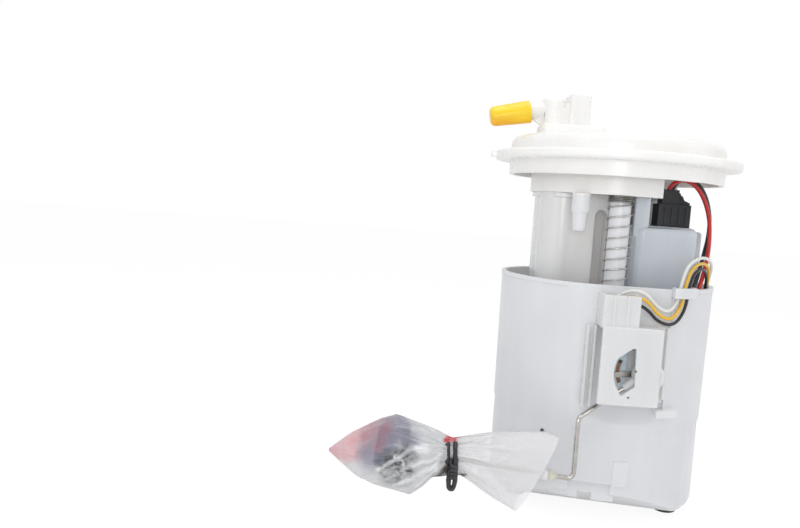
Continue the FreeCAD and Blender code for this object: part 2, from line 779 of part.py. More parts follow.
def make_leads():
    top = ceiling - gland_height
    floor = plug_top - plug_hole_depth
    (red_x, red_y), (black_x, black_y) = lead_exits()
    lead("red_lead", [
        (red_x, red_y, floor), (red_x, red_y, -10.2), (28.2, -24.6, -5.6), (35.8, -23.2, -6.6),
        (43.0, -20.2, -13.4), (48.2, -17.6, -24.0), (49.6, -17.2, -35.6), (48.4, -20.0, -46.4),
        (43.4, -28.2, -57.0), (38.2, -35.8, -68.5), (36.2, -38.2, -83.0), (41.0, -32.0, -97.0),
        (48.0, -15.4, -104.0), (49.4, 4.0, -102.5), (45.6, 22.6, -92.0), (39.4, 32.0, -75.0),
        (36.6, 34.6, -52.0), (36.6, 33.6, -24.0), (36.8, 33.6, -6.0), (36.8, 33.6, top)],
        pump_lead_diameter)
    lead("black_lead", [
        (black_x, black_y, floor), (black_x, black_y, -10.0), (31.0, -20.4, -5.0), (38.6, -18.8, -5.6),
        (45.6, -15.6, -12.0), (50.2, -12.8, -23.0), (50.4, -13.2, -34.0), (47.4, -16.6, -44.6),
        (42.0, -26.2, -54.5), (35.6, -36.0, -66.5), (32.4, -40.4, -82.5), (37.8, -35.8, -100.5),
        (46.4, -18.0, -108.5), (48.4, 4.6, -107.6), (43.2, 24.4, -96.4), (36.0, 33.6, -79.0),
        (33.2, 36.2, -54.0), (34.2, 30.8, -24.0), (36.4, 29.6, -7.0), (36.4, 29.6, top)],
        pump_lead_diameter)
    lead("yellow_lead", [
        (-13.7, -58.6, -70.0), (-8.4, -58.6, -70.0), (-1.8, -60.2, -64.8), (6.0, -61.2, -66.0),
        (11.8, -60.4, -73.0), (19.6, -57.8, -75.8), (25.8, -52.8, -68.8), (26.8, -51.5, -60.0),
        (29.8, -49.4, -50.4), (38.0, -41.8, -46.8), (46.0, -31.0, -50.6), (48.6, -22.2, -61.6),
        (50.2, -13.0, -72.6), (51.8, 0.6, -76.4), (49.0, 17.0, -70.0), (45.0, 27.0, -54.0),
        (42.6, 30.8, -34.0), (40.8, 33.4, -10.4), (40.8, 33.4, top)], sender_lead_diameter)
    lead("sender_black_lead", [
        (-13.7, -58.6, -73.4), (-6.4, -58.6, -73.4), (0.4, -60.0, -68.0), (6.8, -60.0, -70.6),
        (12.6, -59.0, -76.6), (21.6, -56.0, -78.6), (28.0, -51.6, -71.0), (29.4, -50.1, -60.0),
        (32.4, -46.8, -52.6), (38.8, -39.8, -49.8), (45.2, -30.4, -54.0), (47.4, -23.2, -64.0),
        (49.0, -14.0, -75.8), (50.4, 0.4, -79.8), (47.4, 17.2, -73.4), (43.2, 26.8, -57.0),
        (40.4, 30.0, -36.0), (40.2, 30.0, -10.4), (40.2, 30.0, top)], sender_lead_diameter)
    lead("white_lead", [
        (-13.7, -58.6, -66.6), (-9.2, -58.6, -66.6), (-3.2, -59.8, -62.0), (4.8, -60.4, -62.2),
        (10.8, -59.6, -68.8), (17.6, -58.0, -72.2), (23.2, -53.8, -67.0), (24.2, -52.8, -59.6),
        (27.4, -50.6, -48.2), (37.4, -43.2, -43.8), (47.6, -31.0, -47.6), (49.4, -20.2, -60.2),
        (51.2, -11.6, -69.4), (52.6, 0.8, -73.0), (50.6, 16.8, -66.6), (46.6, 26.4, -51.0),
        (44.4, 29.6, -32.0), (43.6, 31.4, -10.4), (43.6, 31.4, top)], sender_lead_diameter)


def cup_form(inset, top):
    """The cup's filled outline, drawn in by a wall: a slight taper, a front flat and a chamfered base."""
    low = cup_bottom + (cup_floor if inset else 0)
    upper = cup_rim_radius - inset
    at_ledge = cup_base_radius + (cup_rim_radius - cup_base_radius) * (ledge_z - cup_bottom) / (cup_rim - cup_bottom)
    form = turned([(0, low), (cup_base_radius - inset, low), (at_ledge - ledge_step - inset, ledge_z - 0.4),
                   (at_ledge - inset, ledge_z + 0.4), (upper, cup_rim), (upper, top), (0, top)])
    form = rounded(form, cup_corner - inset / 2, ring_at(cup_base_radius - inset, low))
    flat = -flat_distance + inset
    shelf_low = shelf_top - shelf_drop
    profile = [at(-40, flat, top + 1), at(-40, flat, shelf_top), at(-40, flat - 6, shelf_low),
               at(-40, flat - 20, shelf_low), at(-40, flat - 20, top + 1)]
    form = form.cut(Part.Face(Part.makePolygon(profile + profile[:1])).extrude(at(80, 0, 0)))
    start = chamfer_start - inset * 0.6
    wedge = [at(-80, -start, low), at(-80, -start - 60, low + 60 * chamfer_slope),
             at(-80, -start - 60, low - 5), at(-80, -start, low - 5)]
    chamfer = Part.Face(Part.makePolygon(wedge + wedge[:1])).extrude(at(160, 0, 0))
    chamfer.rotate(at(0, 0, 0), at(0, 0, 1), chamfer_turn_degrees)
    return form.cut(chamfer)


def foot_at(degrees):
    reach = cup_base_radius - foot_inset
    return reach * math.cos(math.radians(degrees)), reach * math.sin(math.radians(degrees))


def foot_places():
    return [foot_at(degrees) for degrees in foot_degrees]


def wall_band(out, depth, x0, x1, z0, z1):
    """A piece of a ring round the front of the cup, from its outside face plus out, inwards by depth."""
    reach = cup_base_radius + out
    ring = rod(0, 0, reach, z0, z1).cut(rod(0, 0, reach - depth, z0, z1))
    return ring.common(block(x0, x1, -2 * reach, 0, z0, z1))


def make_cup():
    outer = cup_form(0, cup_rim)
    inner = cup_form(cup_wall, cup_rim + 1)
    lip = turned([(cup_rim_radius - 1, cup_rim - lip_height), (cup_rim_radius + lip_reach, cup_rim - lip_height),
                  (cup_rim_radius + lip_reach, cup_rim), (cup_rim_radius - 1, cup_rim)])
    lip = lip.cut(block(-30, 40, -2 * cup_rim_radius, -flat_distance + 8, cup_rim - lip_height, cup_rim))
    front_sleeve = rod(front_rod_x, front_rod_y, front_rod_radius + guide_clearance + sleeve_wall,
                       sleeve_bottom, sleeve_top)
    front_web = block(front_rod_x - 1.5, front_rod_x + 1.5, -flat_distance + 1, front_rod_y - front_rod_radius - 1,
                      sleeve_bottom, sleeve_top)
    rear_sleeve = rod(0, rear_rod_y, rear_rod_radius + guide_clearance + sleeve_wall, sleeve_bottom, sleeve_top)
    rear_web = block(-2.5, 2.5, rear_rod_y + rear_rod_radius + 1, cup_base_radius - 0.6, sleeve_bottom, sleeve_top)
    foot_x, foot_y = foot_at(white_foot_degrees)
    white_foot = rod(foot_x, foot_y, foot_radius - 1, cup_bottom - foot_height, cup_bottom + 1)
    lugs = [wall_band(-1.0, 5.2, x, x + width, cup_bottom + lug_foot, cup_bottom + lug_height)
            for x, width in ((-31.0, 14.0), (-10.5, 11.0))]
    lugs = [lug.cut(cup_form(cup_wall / 2, cup_rim)) for lug in lugs]
    tab = wall_band(0.7, 2.2, -1.5, 6.5, cup_bottom + tab_foot, cup_bottom + tab_height)
    body = joined(outer.cut(inner), lip, front_sleeve, front_web, rear_sleeve, rear_web, white_foot, tab, *lugs,
                  *lead_clip())
    bores = [rod(front_rod_x, front_rod_y, front_rod_radius + guide_clearance, sleeve_bottom, sleeve_top),
             rod(0, rear_rod_y, rear_rod_radius + guide_clearance, sleeve_bottom, sleeve_top)]
    studs = [rod(x, y, foot_stud_radius, cup_bottom, cup_bottom + foot_stud_length) for x, y in foot_places()]
    recess = wall_band(5.0, 6.0, -22.0, -2.0, cup_bottom + 2, cup_bottom + lug_height - 0.5)
    vent = cross_rod(vent_x, cup_bottom + vent_height, vent_radius, -cup_rim_radius, -cup_rim_radius / 2)
    umbrella = rod(0, umbrella_y, 1.6, cup_bottom, cup_inner_floor)
    save("reservoir_cup", body.cut(bores + studs + [recess, vent, umbrella]).removeSplitter())


def lead_clip():
    """The tab that holds the sender's leads to the rim, with the long rib and the guard below it."""
    low = lead_clip_bottom
    high = low + lead_clip_height
    left = lead_clip_left
    right = lead_clip_right
    hold = cup_rim_radius + lead_clip_gap

    def band(inner, outer, x0, x1, z0, z1):
        ring = rod(0, 0, outer, z0, z1).cut(rod(0, 0, inner, z0, z1))
        return ring.common(block(x0, x1, -2 * outer, -outer / 2, z0, z1))

    strap = band(hold, hold + lead_clip_thickness, left, right, low, high)
    left_post = band(cup_rim_radius - 1, hold + 0.5, left, left + 1.7, low, high)
    right_post = band(cup_rim_radius - 1, hold + 0.5, right - 2.0, right, low, high)
    rib = band(cup_base_radius - 1, cup_rim_radius + lead_clip_rib, left + 0.3, left + 1.7, shelf_top, low + 1)
    guard_top = sender_bottom - guard_gap
    guard = band(cup_base_radius - 1, hold + 1.2, left - 4.0, left + 8.0, guard_top - guard_height, guard_top)
    return [strap, left_post, right_post, rib, guard]


def make_feet():
    feet = []
    for x, y in foot_places():
        pad = rounded(rod(x, y, foot_radius, cup_bottom - foot_height, cup_bottom), 1.2,
                      level_at(cup_bottom - foot_height))
        feet.append(joined(pad, rod(x, y, foot_stud_radius, cup_bottom - 1, cup_bottom + foot_stud_length)))
    save("cup_feet", Part.makeCompound(feet))


def make_cup_valves():
    low = cup_inner_floor
    base = block(jet_x - jet_length / 2, jet_x + jet_length / 2, jet_y - 6, jet_y + 6, low, low + jet_height - 4)
    base = rounded(base, 2.5, upright)
    nozzle = Part.makeCylinder(3.4, jet_length, at(jet_x - jet_length / 2, jet_y, low + jet_height - 3.4), at(1, 0, 0))
    throat = Part.makeCylinder(1.6, jet_length - 4, at(jet_x - jet_length / 2, jet_y, low + jet_height - 3.4),
                               at(1, 0, 0))
    save("jet_pump", joined(base, nozzle).cut(throat))
    stem = 1.6
    cap = turned([(0, low), (umbrella_radius, low), (umbrella_radius - 1, low + 1.4), (2.4, low + 2.4),
                  (0, low + 2.4)], 0, umbrella_y)
    bulb = turned([(0, low), (stem, low), (stem, cup_bottom), (stem + 0.9, cup_bottom - 0.3),
                   (stem, cup_bottom - 2.2), (0, cup_bottom - 2.2)], 0, umbrella_y)
    save("inlet_valve", joined(cap, bulb))


def make_sender_housing():
    back = -flat_distance
    deep = sender_front + sender_wall
    face = block(sender_left, sender_right, sender_front, deep, sender_bottom, sender_top)
    face = rounded(face, 0.8, lambda edge: upright(edge) and edge.BoundBox.YMax < sender_front + 0.1)
    plate = block(sender_left, sender_right + right_wing, back - sender_back_wall, back,
                  sender_bottom, sender_top)
    wing_left = sender_left - left_wing
    wing_top = sender_top - left_wing_drop
    wing_low = sender_bottom - left_wing_overhang
    wing = block(wing_left, sender_left + 0.5, back - sender_back_wall, back, wing_low, wing_top)
    right_wall = block(sender_right - sender_wall, sender_right, deep - 0.5, back - 1, sender_bottom, sender_top)
    top_wall = block(sender_left, sender_right, deep - 0.5, back - 1, sender_top - sender_wall, sender_top)
    lobe = cross_rod(pivot_x, pivot_z, lobe_reach, sender_front + 1.0, back - 1)
    block_top = sender_top + top_block_height
    upper = block(top_block_left, top_block_right, top_block_front, back, sender_top - 1, block_top)
    upper = rounded(upper, 1.0, lambda edge: upright(edge) and edge.BoundBox.YMax < top_block_front + 0.1)
    hollow = block(top_block_left + sender_wall, top_block_right - sender_wall, top_block_front + sender_wall,
                   back - sender_back_wall, sender_top + 4, block_top)
    rails = [block(x, x + 1.2, back - sender_back_wall - 2.4, back - 1, wing_low, wing_top)
             for x in (wing_left, wing_left + 3.4)]
    right_rail = block(sender_right + right_wing - 1.2, sender_right + right_wing,
                       back - sender_back_wall - 2.4, back - 1, sender_bottom + 2, sender_top)
    fins = [block(x, x + 1.2, top_block_front - 0.7, top_block_front + 1, sender_top - 0.5, block_top)
            for x in (-10.8, -4.2)]
    body = joined(face, plate, wing, right_wall, top_wall, lobe, upper, right_rail, *rails, *fins)
    inside = block(sender_left, sender_right - sender_wall, deep, back - sender_back_wall,
                   sender_bottom, sender_top - sender_wall)
    lobe_room = cross_rod(pivot_x, pivot_z, hub_radius + 0.6, deep, back - sender_back_wall)
    window = panel(window_outline(), sender_front - 1, deep + 0.5)
    notch = block(top_block_right - sender_wall - 0.5, top_block_right + 1, top_block_front + sender_wall,
                  top_block_front + 6.3, block_top - 5.2, block_top + 1)
    body = body.cut([inside, lobe_room, window, hollow, notch])
    pin = cross_rod(pivot_x, pivot_z, pivot_radius, deep - 0.5, back - 1)
    save("sender_housing", joined(body, pin))


def window_outline():
    """A crescent: straight on the right, bowed out on the left about the pivot, and sloped at its foot."""
    middle = (window_top + window_bottom) / 2
    half = (window_top - window_bottom) / 2
    bow = window_right - window_left
    outline = [(window_right - 0.8, window_top), (window_right, window_bottom + window_slope),
               (window_right - 6.4, window_bottom)]
    for step in range(1, 8):
        share = -1 + 2 * step / 9
        outline.append((window_right - bow * math.sqrt(1 - 0.8 * share ** 2), middle + share * half))
    return outline + [(window_right - 2.4, window_top)]


def make_sender_inside():
    back = -flat_distance - sender_back_wall
    card = panel([(-9.0, sender_top - 3), (0.6, sender_top - 3), (0.6, sender_bottom + 6), (-9.0, sender_bottom + 6)],
                 back - card_thickness, back)
    save("resistor_card", card)
    strips = []
    for inner in (11.0, 14.6):
        ring = cross_rod(pivot_x, pivot_z, inner + 1.9, back - card_thickness - strip_thickness, back - card_thickness)
        ring = ring.cut(cross_rod(pivot_x, pivot_z, inner, back - card_thickness - strip_thickness,
                                  back - card_thickness))
        reach = 40
        fan = [(pivot_x, pivot_z)]
        for a in (152, 180, 208):
            fan.append((pivot_x + reach * math.cos(math.radians(a)), pivot_z + reach * math.sin(math.radians(a))))
        strips.append(ring.common(panel(fan, back - 5, back)).common(
            block(-9.0, 0.6, back - 5, back, sender_bottom + 6, sender_top - 3)))
    save("contact_strips", Part.makeCompound(strips))


def arm_route():
    """The wire's corners: inside the housing, out at its foot, then out and down to the float."""
    return [at(pivot_x - hub_radius + 1.0, arm_y, pivot_z - (hub_radius - 1.0) * arm_slope()),
            at(arm_exit_x, arm_y, arm_exit_z), at(arm_bend_x, arm_outer_y, arm_first_bend_z),
            at(arm_bend_x, arm_outer_y, arm_second_bend_z), at(arm_end_x, arm_outer_y, arm_end_z)]


def arm_slope():
    return (pivot_z - arm_exit_z) / (pivot_x - arm_exit_x)


def wire_path(route, radius):
    """Straight runs with one bend radius at every corner."""
    edges = []
    start = route[0]
    for before, corner, after in zip(route, route[1:], route[2:]):
        arrive = (corner - before).normalize()
        leave = (after - corner).normalize()
        turn = arrive.getAngle(leave)
        trim = radius * math.tan(turn / 2)
        inward = (leave - arrive).normalize()
        middle = corner + inward * (radius / math.cos(turn / 2) - radius)
        edges.append(Part.LineSegment(start, corner - arrive * trim).toShape())
        edges.append(Part.Arc(corner - arrive * trim, middle, corner + leave * trim).toShape())
        start = corner + leave * trim
    edges.append(Part.LineSegment(start, route[-1]).toShape())
    return Part.Wire(edges)


def make_arm():
    route = arm_route()
    path = wire_path(route, arm_bend_radius)
    circle = Part.Wire(Part.makeCircle(arm_wire_radius, route[0], route[1] - route[0]))
    wire = path.makePipeShell([circle], True, True)
    save("float_arm_wire", wire)
    front = arm_y - hub_thickness / 2
    hub = cross_rod(pivot_x, pivot_z, hub_radius, front, front + hub_thickness)
    hub = hub.cut(cross_rod(pivot_x, pivot_z, pivot_radius + pivot_clearance, front, front + hub_thickness))
    away = (route[1] - route[0]).normalize()
    reach = 4.0
    clamp = Part.makeCylinder(arm_wire_radius + 1.1, reach + 3, route[0] - away * 1.0, away)
    hub = joined(hub, clamp)
    hub = hub.cut(cross_rod(pivot_x, pivot_z, pivot_radius + pivot_clearance, front, front + hub_thickness))
    save("arm_hub", hub.cut(Part.makeCylinder(arm_wire_radius, 30, route[0], away)))
    wiper_back = -flat_distance - sender_back_wall - card_thickness - strip_thickness - 0.3
    hub_back = front + hub_thickness
    tip = 16.2
    a = math.radians(188)
    finger = block(0, tip, -1.3, 1.3, 0, 0.35)
    finger.rotate(at(0, 0, 0), at(1, 0, 0), 90)
    finger.rotate(at(0, 0, 0), at(0, 1, 0), -math.degrees(a))
    finger.translate(at(pivot_x, wiper_back - 0.3, pivot_z))
    boss = cross_rod(pivot_x, pivot_z, 3.6, hub_back, wiper_back - 0.3)
    boss = boss.cut(cross_rod(pivot_x, pivot_z, pivot_radius + pivot_clearance, hub_back, wiper_back))
    wiper = finger.fuse(boss).cut(cross_rod(pivot_x, pivot_z, pivot_radius + pivot_clearance, hub_back - 1,
                                            wiper_back + 1))
    save("wiper", wiper.removeSplitter())


def arm_line(x):
    """The height of the wire's last run at that x."""
    share = (x - arm_bend_x) / (arm_end_x - arm_bend_x)
    return arm_second_bend_z + share * (arm_end_z - arm_second_bend_z)


def along_arm(shape, x):
    """Turns a shape made up the Z axis to lie along the wire's last run, from that x outwards."""
    rise = math.degrees(math.atan2(arm_end_z - arm_second_bend_z, arm_bend_x - arm_end_x))
    shape.rotate(at(0, 0, 0), at(0, 1, 0), -90 + rise)
    shape.translate(at(x, arm_outer_y, arm_line(x)))
    return shape


def make_float():
    half = bead_length / 2
    bead = turned([(arm_wire_radius, -half), (bead_radius - 1, -half), (bead_radius, -half + 1.6),
                   (bead_radius, half - 1.6), (bead_radius - 1, half), (arm_wire_radius, half)])
    save("arm_bead", along_arm(bead, bead_x))
    body = block(-float_height / 2, float_height / 2, -float_depth / 2, float_depth / 2,
                 -float_length / 2, float_length / 2)
    body = rounded(body, 4.0, upright)
    body = rounded(body, 2.0, lambda edge: abs(abs(edge.BoundBox.ZMin) - float_length / 2) < 0.001
                   and edge.BoundBox.ZLength < 0.001)
    reach = float_x - arm_end_x
    bore = Part.makeCylinder(arm_wire_radius + float_clearance, 60, at(0, 0, -60))
    bore = bore.fuse(Part.makeCylinder(arm_wire_radius + float_clearance, reach + 0.3))
    save("float", along_arm(body.cut(bore), float_x))


def bag_sections():
    """Where each section of the bag is, how far its middle is above the wire, and its half height and depth."""
    return [(-142.0, -5.8, 1.6, 1.5), (-131.0, -4.7, 9.6, 8.4), (-121.0, -2.8, 14.0, 11.2),
            (-107.5, -1.6, 17.2, 12.0), (-90.0, 0.9, 13.2, 10.6),
            (tie_x - 2.5, 0.0, neck_radius, neck_radius), (tie_x + 2.5, 0.0, neck_radius, neck_radius),
            (-68.0, 2.4, 12.2, 7.0), (-52.0, 1.5, 17.6, 7.6), (-40.0, 3.7, 16.4, 7.0)]


def bag_form(inset):
    wires = []
    for x, rise, half_height, half_depth in bag_sections():
        z = arm_line(x) + rise
        tall = half_height - inset
        deep = half_depth - inset
        corners = []
        for step in range(12):
            turn = math.radians(30 * step)
            out = math.copysign(abs(math.cos(turn)) ** bag_fullness, math.cos(turn))
            up = math.copysign(abs(math.sin(turn)) ** bag_fullness, math.sin(turn))
            corners.append(at(x, arm_outer_y + deep * out, z + tall * up))
        wires.append(Part.makePolygon(corners + corners[:1]))
    return Part.makeLoft(wires, True, True)


def make_bag():
    outer = bag_form(0)
    inner = bag_form(film_thickness)
    closed_end = bag_sections()[0][0] + 1.2
    mouth_cut = block(closed_end, arm_bend_x, 2 * arm_outer_y, 0, 2 * cup_bottom, 0)
    save("float_bag", outer.cut(inner.common(mouth_cut)))
    save("bag_tie", along_arm(tie_form(), tie_x))


def tie_form():
    """A strap round the neck of the bag, with a long tail down and a short one up."""
    half = tie_width / 2
    inner = neck_radius + bag_clearance
    outer = inner + tie_thickness
    ring = Part.makeCylinder(outer, tie_width, at(0, 0, -half))
    tail = block(-outer - tie_tail, -inner, -outer, -outer + tie_thickness, -half, half)
    stub = block(inner, outer + tie_stub, -outer, -outer + tie_thickness, -half * 0.6, half * 0.6)
    knot = block(-inner, inner, -outer - 0.8, -inner, -half, half)
    form = joined(ring, tail, stub, rounded(knot, 0.7, lambda edge: edge.BoundBox.ZLength > tie_width - 0.01))
    return form.cut(Part.makeCylinder(inner, tie_width, at(0, 0, -half))).removeSplitter()


make_flange_cover()
make_terminals()
make_cap()
make_filter_lid()
make_canister()
make_filter_element()
make_guides()
make_spring()
make_pump_holder()
make_pump()
make_pump_rotor()
make_magnets()
make_strainer()
make_check_valve()
make_regulator()
make_plug()
make_leads()
make_cup()
make_feet()
make_cup_valves()
make_sender_housing()
make_sender_inside()
make_arm()
make_float()
make_bag()
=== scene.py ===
import math

import bmesh
import bpy
from mathutils import Matrix, Vector, noise
from mathutils.bvhtree import BVHTree


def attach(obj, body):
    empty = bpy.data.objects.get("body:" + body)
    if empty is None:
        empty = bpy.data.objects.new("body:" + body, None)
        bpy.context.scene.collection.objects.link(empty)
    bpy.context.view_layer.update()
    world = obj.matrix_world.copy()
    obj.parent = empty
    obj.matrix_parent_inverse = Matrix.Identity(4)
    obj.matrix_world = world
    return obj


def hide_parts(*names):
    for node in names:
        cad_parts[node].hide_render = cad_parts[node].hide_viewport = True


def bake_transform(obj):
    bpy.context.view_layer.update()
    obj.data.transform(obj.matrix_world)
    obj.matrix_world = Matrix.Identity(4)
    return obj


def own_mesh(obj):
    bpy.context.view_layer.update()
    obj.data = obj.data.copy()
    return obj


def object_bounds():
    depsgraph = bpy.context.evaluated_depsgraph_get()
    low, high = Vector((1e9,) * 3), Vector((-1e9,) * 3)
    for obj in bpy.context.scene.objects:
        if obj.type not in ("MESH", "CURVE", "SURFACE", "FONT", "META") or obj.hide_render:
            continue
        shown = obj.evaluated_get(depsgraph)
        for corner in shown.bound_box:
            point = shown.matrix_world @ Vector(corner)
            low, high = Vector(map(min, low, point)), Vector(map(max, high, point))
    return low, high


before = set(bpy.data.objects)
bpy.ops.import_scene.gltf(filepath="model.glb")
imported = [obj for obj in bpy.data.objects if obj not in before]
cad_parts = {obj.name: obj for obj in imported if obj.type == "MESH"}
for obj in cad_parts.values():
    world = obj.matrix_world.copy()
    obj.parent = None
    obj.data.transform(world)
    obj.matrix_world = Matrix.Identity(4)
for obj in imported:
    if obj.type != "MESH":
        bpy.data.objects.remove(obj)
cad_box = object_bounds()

# Flange cover
# The cover is one injection moulding in natural acetal: a flat ring that sits on the tank, a low dome,
# and the riser, shroud and hose nipple in one piece with it. Its edges are eased by the tool, and its
# milky plastic shows faint flow marks and is a little warmer in some places than in others.
cover_white = (0.95, 0.94, 0.92)
cover_warm = (0.91, 0.87, 0.81)


class Value:
    """What comes out of a node: a socket whose arithmetic adds Math nodes."""

    def __init__(self, nodes, socket):
        self.nodes = nodes
        self.socket = socket

    def __add__(self, other):
        return self.nodes.maths("ADD", self, other)

    def __sub__(self, other):
        return self.nodes.maths("SUBTRACT", self, other)

    def __rsub__(self, other):
        return self.nodes.maths("SUBTRACT", other, self)

    def __mul__(self, other):
        return self.nodes.maths("MULTIPLY", self, other)

    __radd__ = __add__
    __rmul__ = __mul__


class Nodes:
    """A node tree, and the ways to add nodes to it."""

    def __init__(self, tree):
        self.tree = tree

    def node(self, kind, settings, inputs, output=0):
        added = self.tree.nodes.new(kind)
        for name, value in settings.items():
            if name == "stops":
                ramp = added.color_ramp
                while len(ramp.elements) < len(value):
                    ramp.elements.new(1.0)
                for element, (position, colour) in zip(ramp.elements, value):
                    element.position = position
                    element.color = (*colour, 1.0)
            else:
                setattr(added, name, value)
        for name, value in inputs.items():
            self.feed(added.inputs[name], value)
        return Value(self, added.outputs[output])

    def feed(self, socket, value):
        if isinstance(value, Value):
            self.tree.links.new(value.socket, socket)
        elif socket.type == "RGBA" and len(value) == 3:
            socket.default_value = (*value, 1.0)
        else:
            socket.default_value = value

    def maths(self, operation, first, second):
        return self.node("ShaderNodeMath", {"operation": operation}, {0: first, 1: second})

    def mix(self, share, first, second):
        return self.node("ShaderNodeMix", {"data_type": "RGBA"}, {0: share, 6: first, 7: second}, 2)

    def seen(self):
        """1 for rays that come straight from the camera, off gloss or through a clear piece."""
        camera = self.node("ShaderNodeLightPath", {}, {}, "Is Camera Ray")
        glossy = self.node("ShaderNodeLightPath", {}, {}, "Is Glossy Ray")
        return camera + glossy + self.node("ShaderNodeLightPath", {}, {}, "Is Transmission Ray")


class Finish(Nodes):
    """A material with a Principled shader, and the patterns that vary it."""

    def __init__(self, name, roughness=0.4, **constants):
        self.material = bpy.data.materials.new(name)
        self.material.use_nodes = True
        super().__init__(self.material.node_tree)
        self.shader = self.tree.nodes["Principled BSDF"]
        self.shader.inputs["Roughness"].default_value = roughness
        for socket, value in constants.items():
            self.shader.inputs[socket.replace("_", " ")].default_value = value
        self.place = self.node("ShaderNodeTexCoord", {}, {}, "Object")

    def cloud(self, scale, detail=2.0, stretch=None, lift=0.0):
        """Soft noise from 0 to 1, so many features to the metre, drawn out along an axis by stretch."""
        place = self.place
        if stretch:
            place = self.node("ShaderNodeMapping", {}, {"Vector": place, "Scale": stretch})
        soft = self.node("ShaderNodeTexNoise", {}, {"Vector": place, "Scale": scale, "Detail": detail,
                                                    "Roughness": 0.55}, "Fac")
        return self.between(soft, 0.32 + lift, 0.68 + lift)

    def between(self, value, low, high):
        """The value's rise from low to high, spread over 0 to 1."""
        return self.node("ShaderNodeMapRange", {"interpolation_type": "SMOOTHSTEP"},
                         {"Value": value, "From Min": low, "From Max": high})

    def along(self, axis):
        """The place on that axis, in metres."""
        return self.node("ShaderNodeSeparateXYZ", {}, {"Vector": self.place}, axis)

    def strokes(self, *places, unsteady=0.0022):
        """1 on any of those lines as seen from the front, falling to 0 at its reach.

        A line is x, z, to_x, to_z, reach, and wavers a little, as if drawn by hand."""
        waver = (self.cloud(130.0, 2.0) - 0.5) * unsteady
        aside = self.along("X") + waver
        above = self.along("Z") + waver
        closest = None
        for x, z, to_x, to_z, reach in places:
            run = to_x - x
            rise = to_z - z
            span = run * run + rise * rise
            share = (aside - x) * (run / span) + (above - z) * (rise / span)
            share = self.node("ShaderNodeClamp", {}, {"Value": share})
            off_x = self.maths("POWER", aside - share * run - x, 2.0)
            off_z = self.maths("POWER", above - share * rise - z, 2.0)
            stroke = self.between(self.maths("SQRT", off_x + off_z, 0.0), reach, reach * 0.2)
            closest = stroke if closest is None else self.maths("MAXIMUM", closest, stroke)
        return closest

    def bump(self, height, depth):
        return self.node("ShaderNodeBump", {}, {"Height": height, "Distance": depth, "Strength": 1.0},
                         "Normal")

    def paint(self, **sockets):
        for name, value in sockets.items():
            self.feed(self.shader.inputs[name.replace("_", " ")], value)
        return self

    def tint(self, share, colour):
        """Turns what is painted so far towards a colour."""
        painted = Value(self, self.shader.inputs["Base Color"].links[0].from_socket)
        return self.paint(Base_Color=self.mix(share, painted, colour))

    def put_on(self, *pieces):
        for piece in pieces:
            piece = bpy.data.objects[piece] if isinstance(piece, str) else piece
            if not piece.data.materials:
                piece.data.materials.append(self.material)
            for slot in piece.material_slots:
                slot.material = self.material
        return self


def natural_moulding(name, plain, deep, milk=0.3, gloss=0.30, streak=(1.0, 1.0, 0.12)):
    """Unpigmented plastic: cloudy tone, drawn-out flow marks, a satin skin and a soft glow inside."""
    finish = Finish(name, Subsurface_Weight=milk, Subsurface_Scale=0.008, IOR=1.48,
                    Specular_IOR_Level=0.5, Subsurface_Radius=(1.0, 0.9, 0.8))
    tone = finish.cloud(26.0, 3.0)
    flow = finish.cloud(150.0, 2.0, stretch=streak)
    skin = finish.cloud(1500.0, 2.0)
    colour = finish.mix(tone * 0.45 + flow * 0.2, plain, deep)
    wear = gloss + (tone - 0.5) * 0.10 + (skin - 0.5) * 0.06
    height = skin * 0.03 + flow * 0.5 + tone * 0.7
    return finish.paint(Base_Color=colour, Roughness=wear, Normal=finish.bump(height, 0.00006))


merge_gap = 0.000004
flat_degrees = 0.2
smooth_degrees = 38.0


def moulded(node, name, easing=0.0003, sharp=52.0):
    """A CAD node's mesh, copied, merged, and given the eased edges of a moulding.

    A corner that the easing throws off the old skin goes back to it."""
    bpy.ops.object.select_all(action="DESELECT")
    piece = bpy.data.objects.new(name, bpy.data.objects[node].data.copy())
    bpy.context.collection.objects.link(piece)
    bpy.context.view_layer.objects.active = piece
    piece.select_set(True)
    bpy.ops.object.mode_set(mode="EDIT")
    bpy.ops.mesh.select_all(action="SELECT")
    bpy.ops.mesh.remove_doubles(threshold=merge_gap)
    bpy.ops.mesh.dissolve_limited(angle_limit=math.radians(flat_degrees))
    bpy.ops.object.mode_set(mode="OBJECT")
    skin = BVHTree.FromPolygons([vertex.co.copy() for vertex in piece.data.vertices],
                                [face.vertices[:] for face in piece.data.polygons])
    ease = piece.modifiers.new("eased edges", "BEVEL")
    ease.width = easing
    ease.segments = 2
    ease.limit_method = "ANGLE"
    ease.angle_limit = math.radians(sharp)
    ease.use_clamp_overlap = False
    bpy.ops.object.modifier_apply(modifier=ease.name)
    for vertex in piece.data.vertices:
        nearest, _, _, away = skin.find_nearest(vertex.co)
        if away > easing * 0.75:
            vertex.co = nearest
    bpy.ops.object.shade_smooth_by_angle(angle=math.radians(smooth_degrees))
    even = piece.modifiers.new("even shading", "WEIGHTED_NORMAL")
    even.keep_sharp = True
    bpy.ops.object.modifier_apply(modifier=even.name)
    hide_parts(node)
    return piece


cover = moulded("flange_cover", "cover_moulding")
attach(cover, "head")
cover_finish = natural_moulding("cover acetal", cover_white, cover_warm, milk=0.2)
cover_finish.put_on(cover)

# The pins of the electrical socket: tinned round brass pins, moulded into the cover.
pin_finish = Finish("tinned pins", roughness=0.28, Metallic=1.0)
pin_finish.paint(Base_Color=pin_finish.mix(pin_finish.cloud(900.0), (0.74, 0.73, 0.70), (0.60, 0.58, 0.53)),
                 Roughness=0.22 + pin_finish.cloud(1400.0) * 0.16)
pin_finish.put_on("connector_terminals")

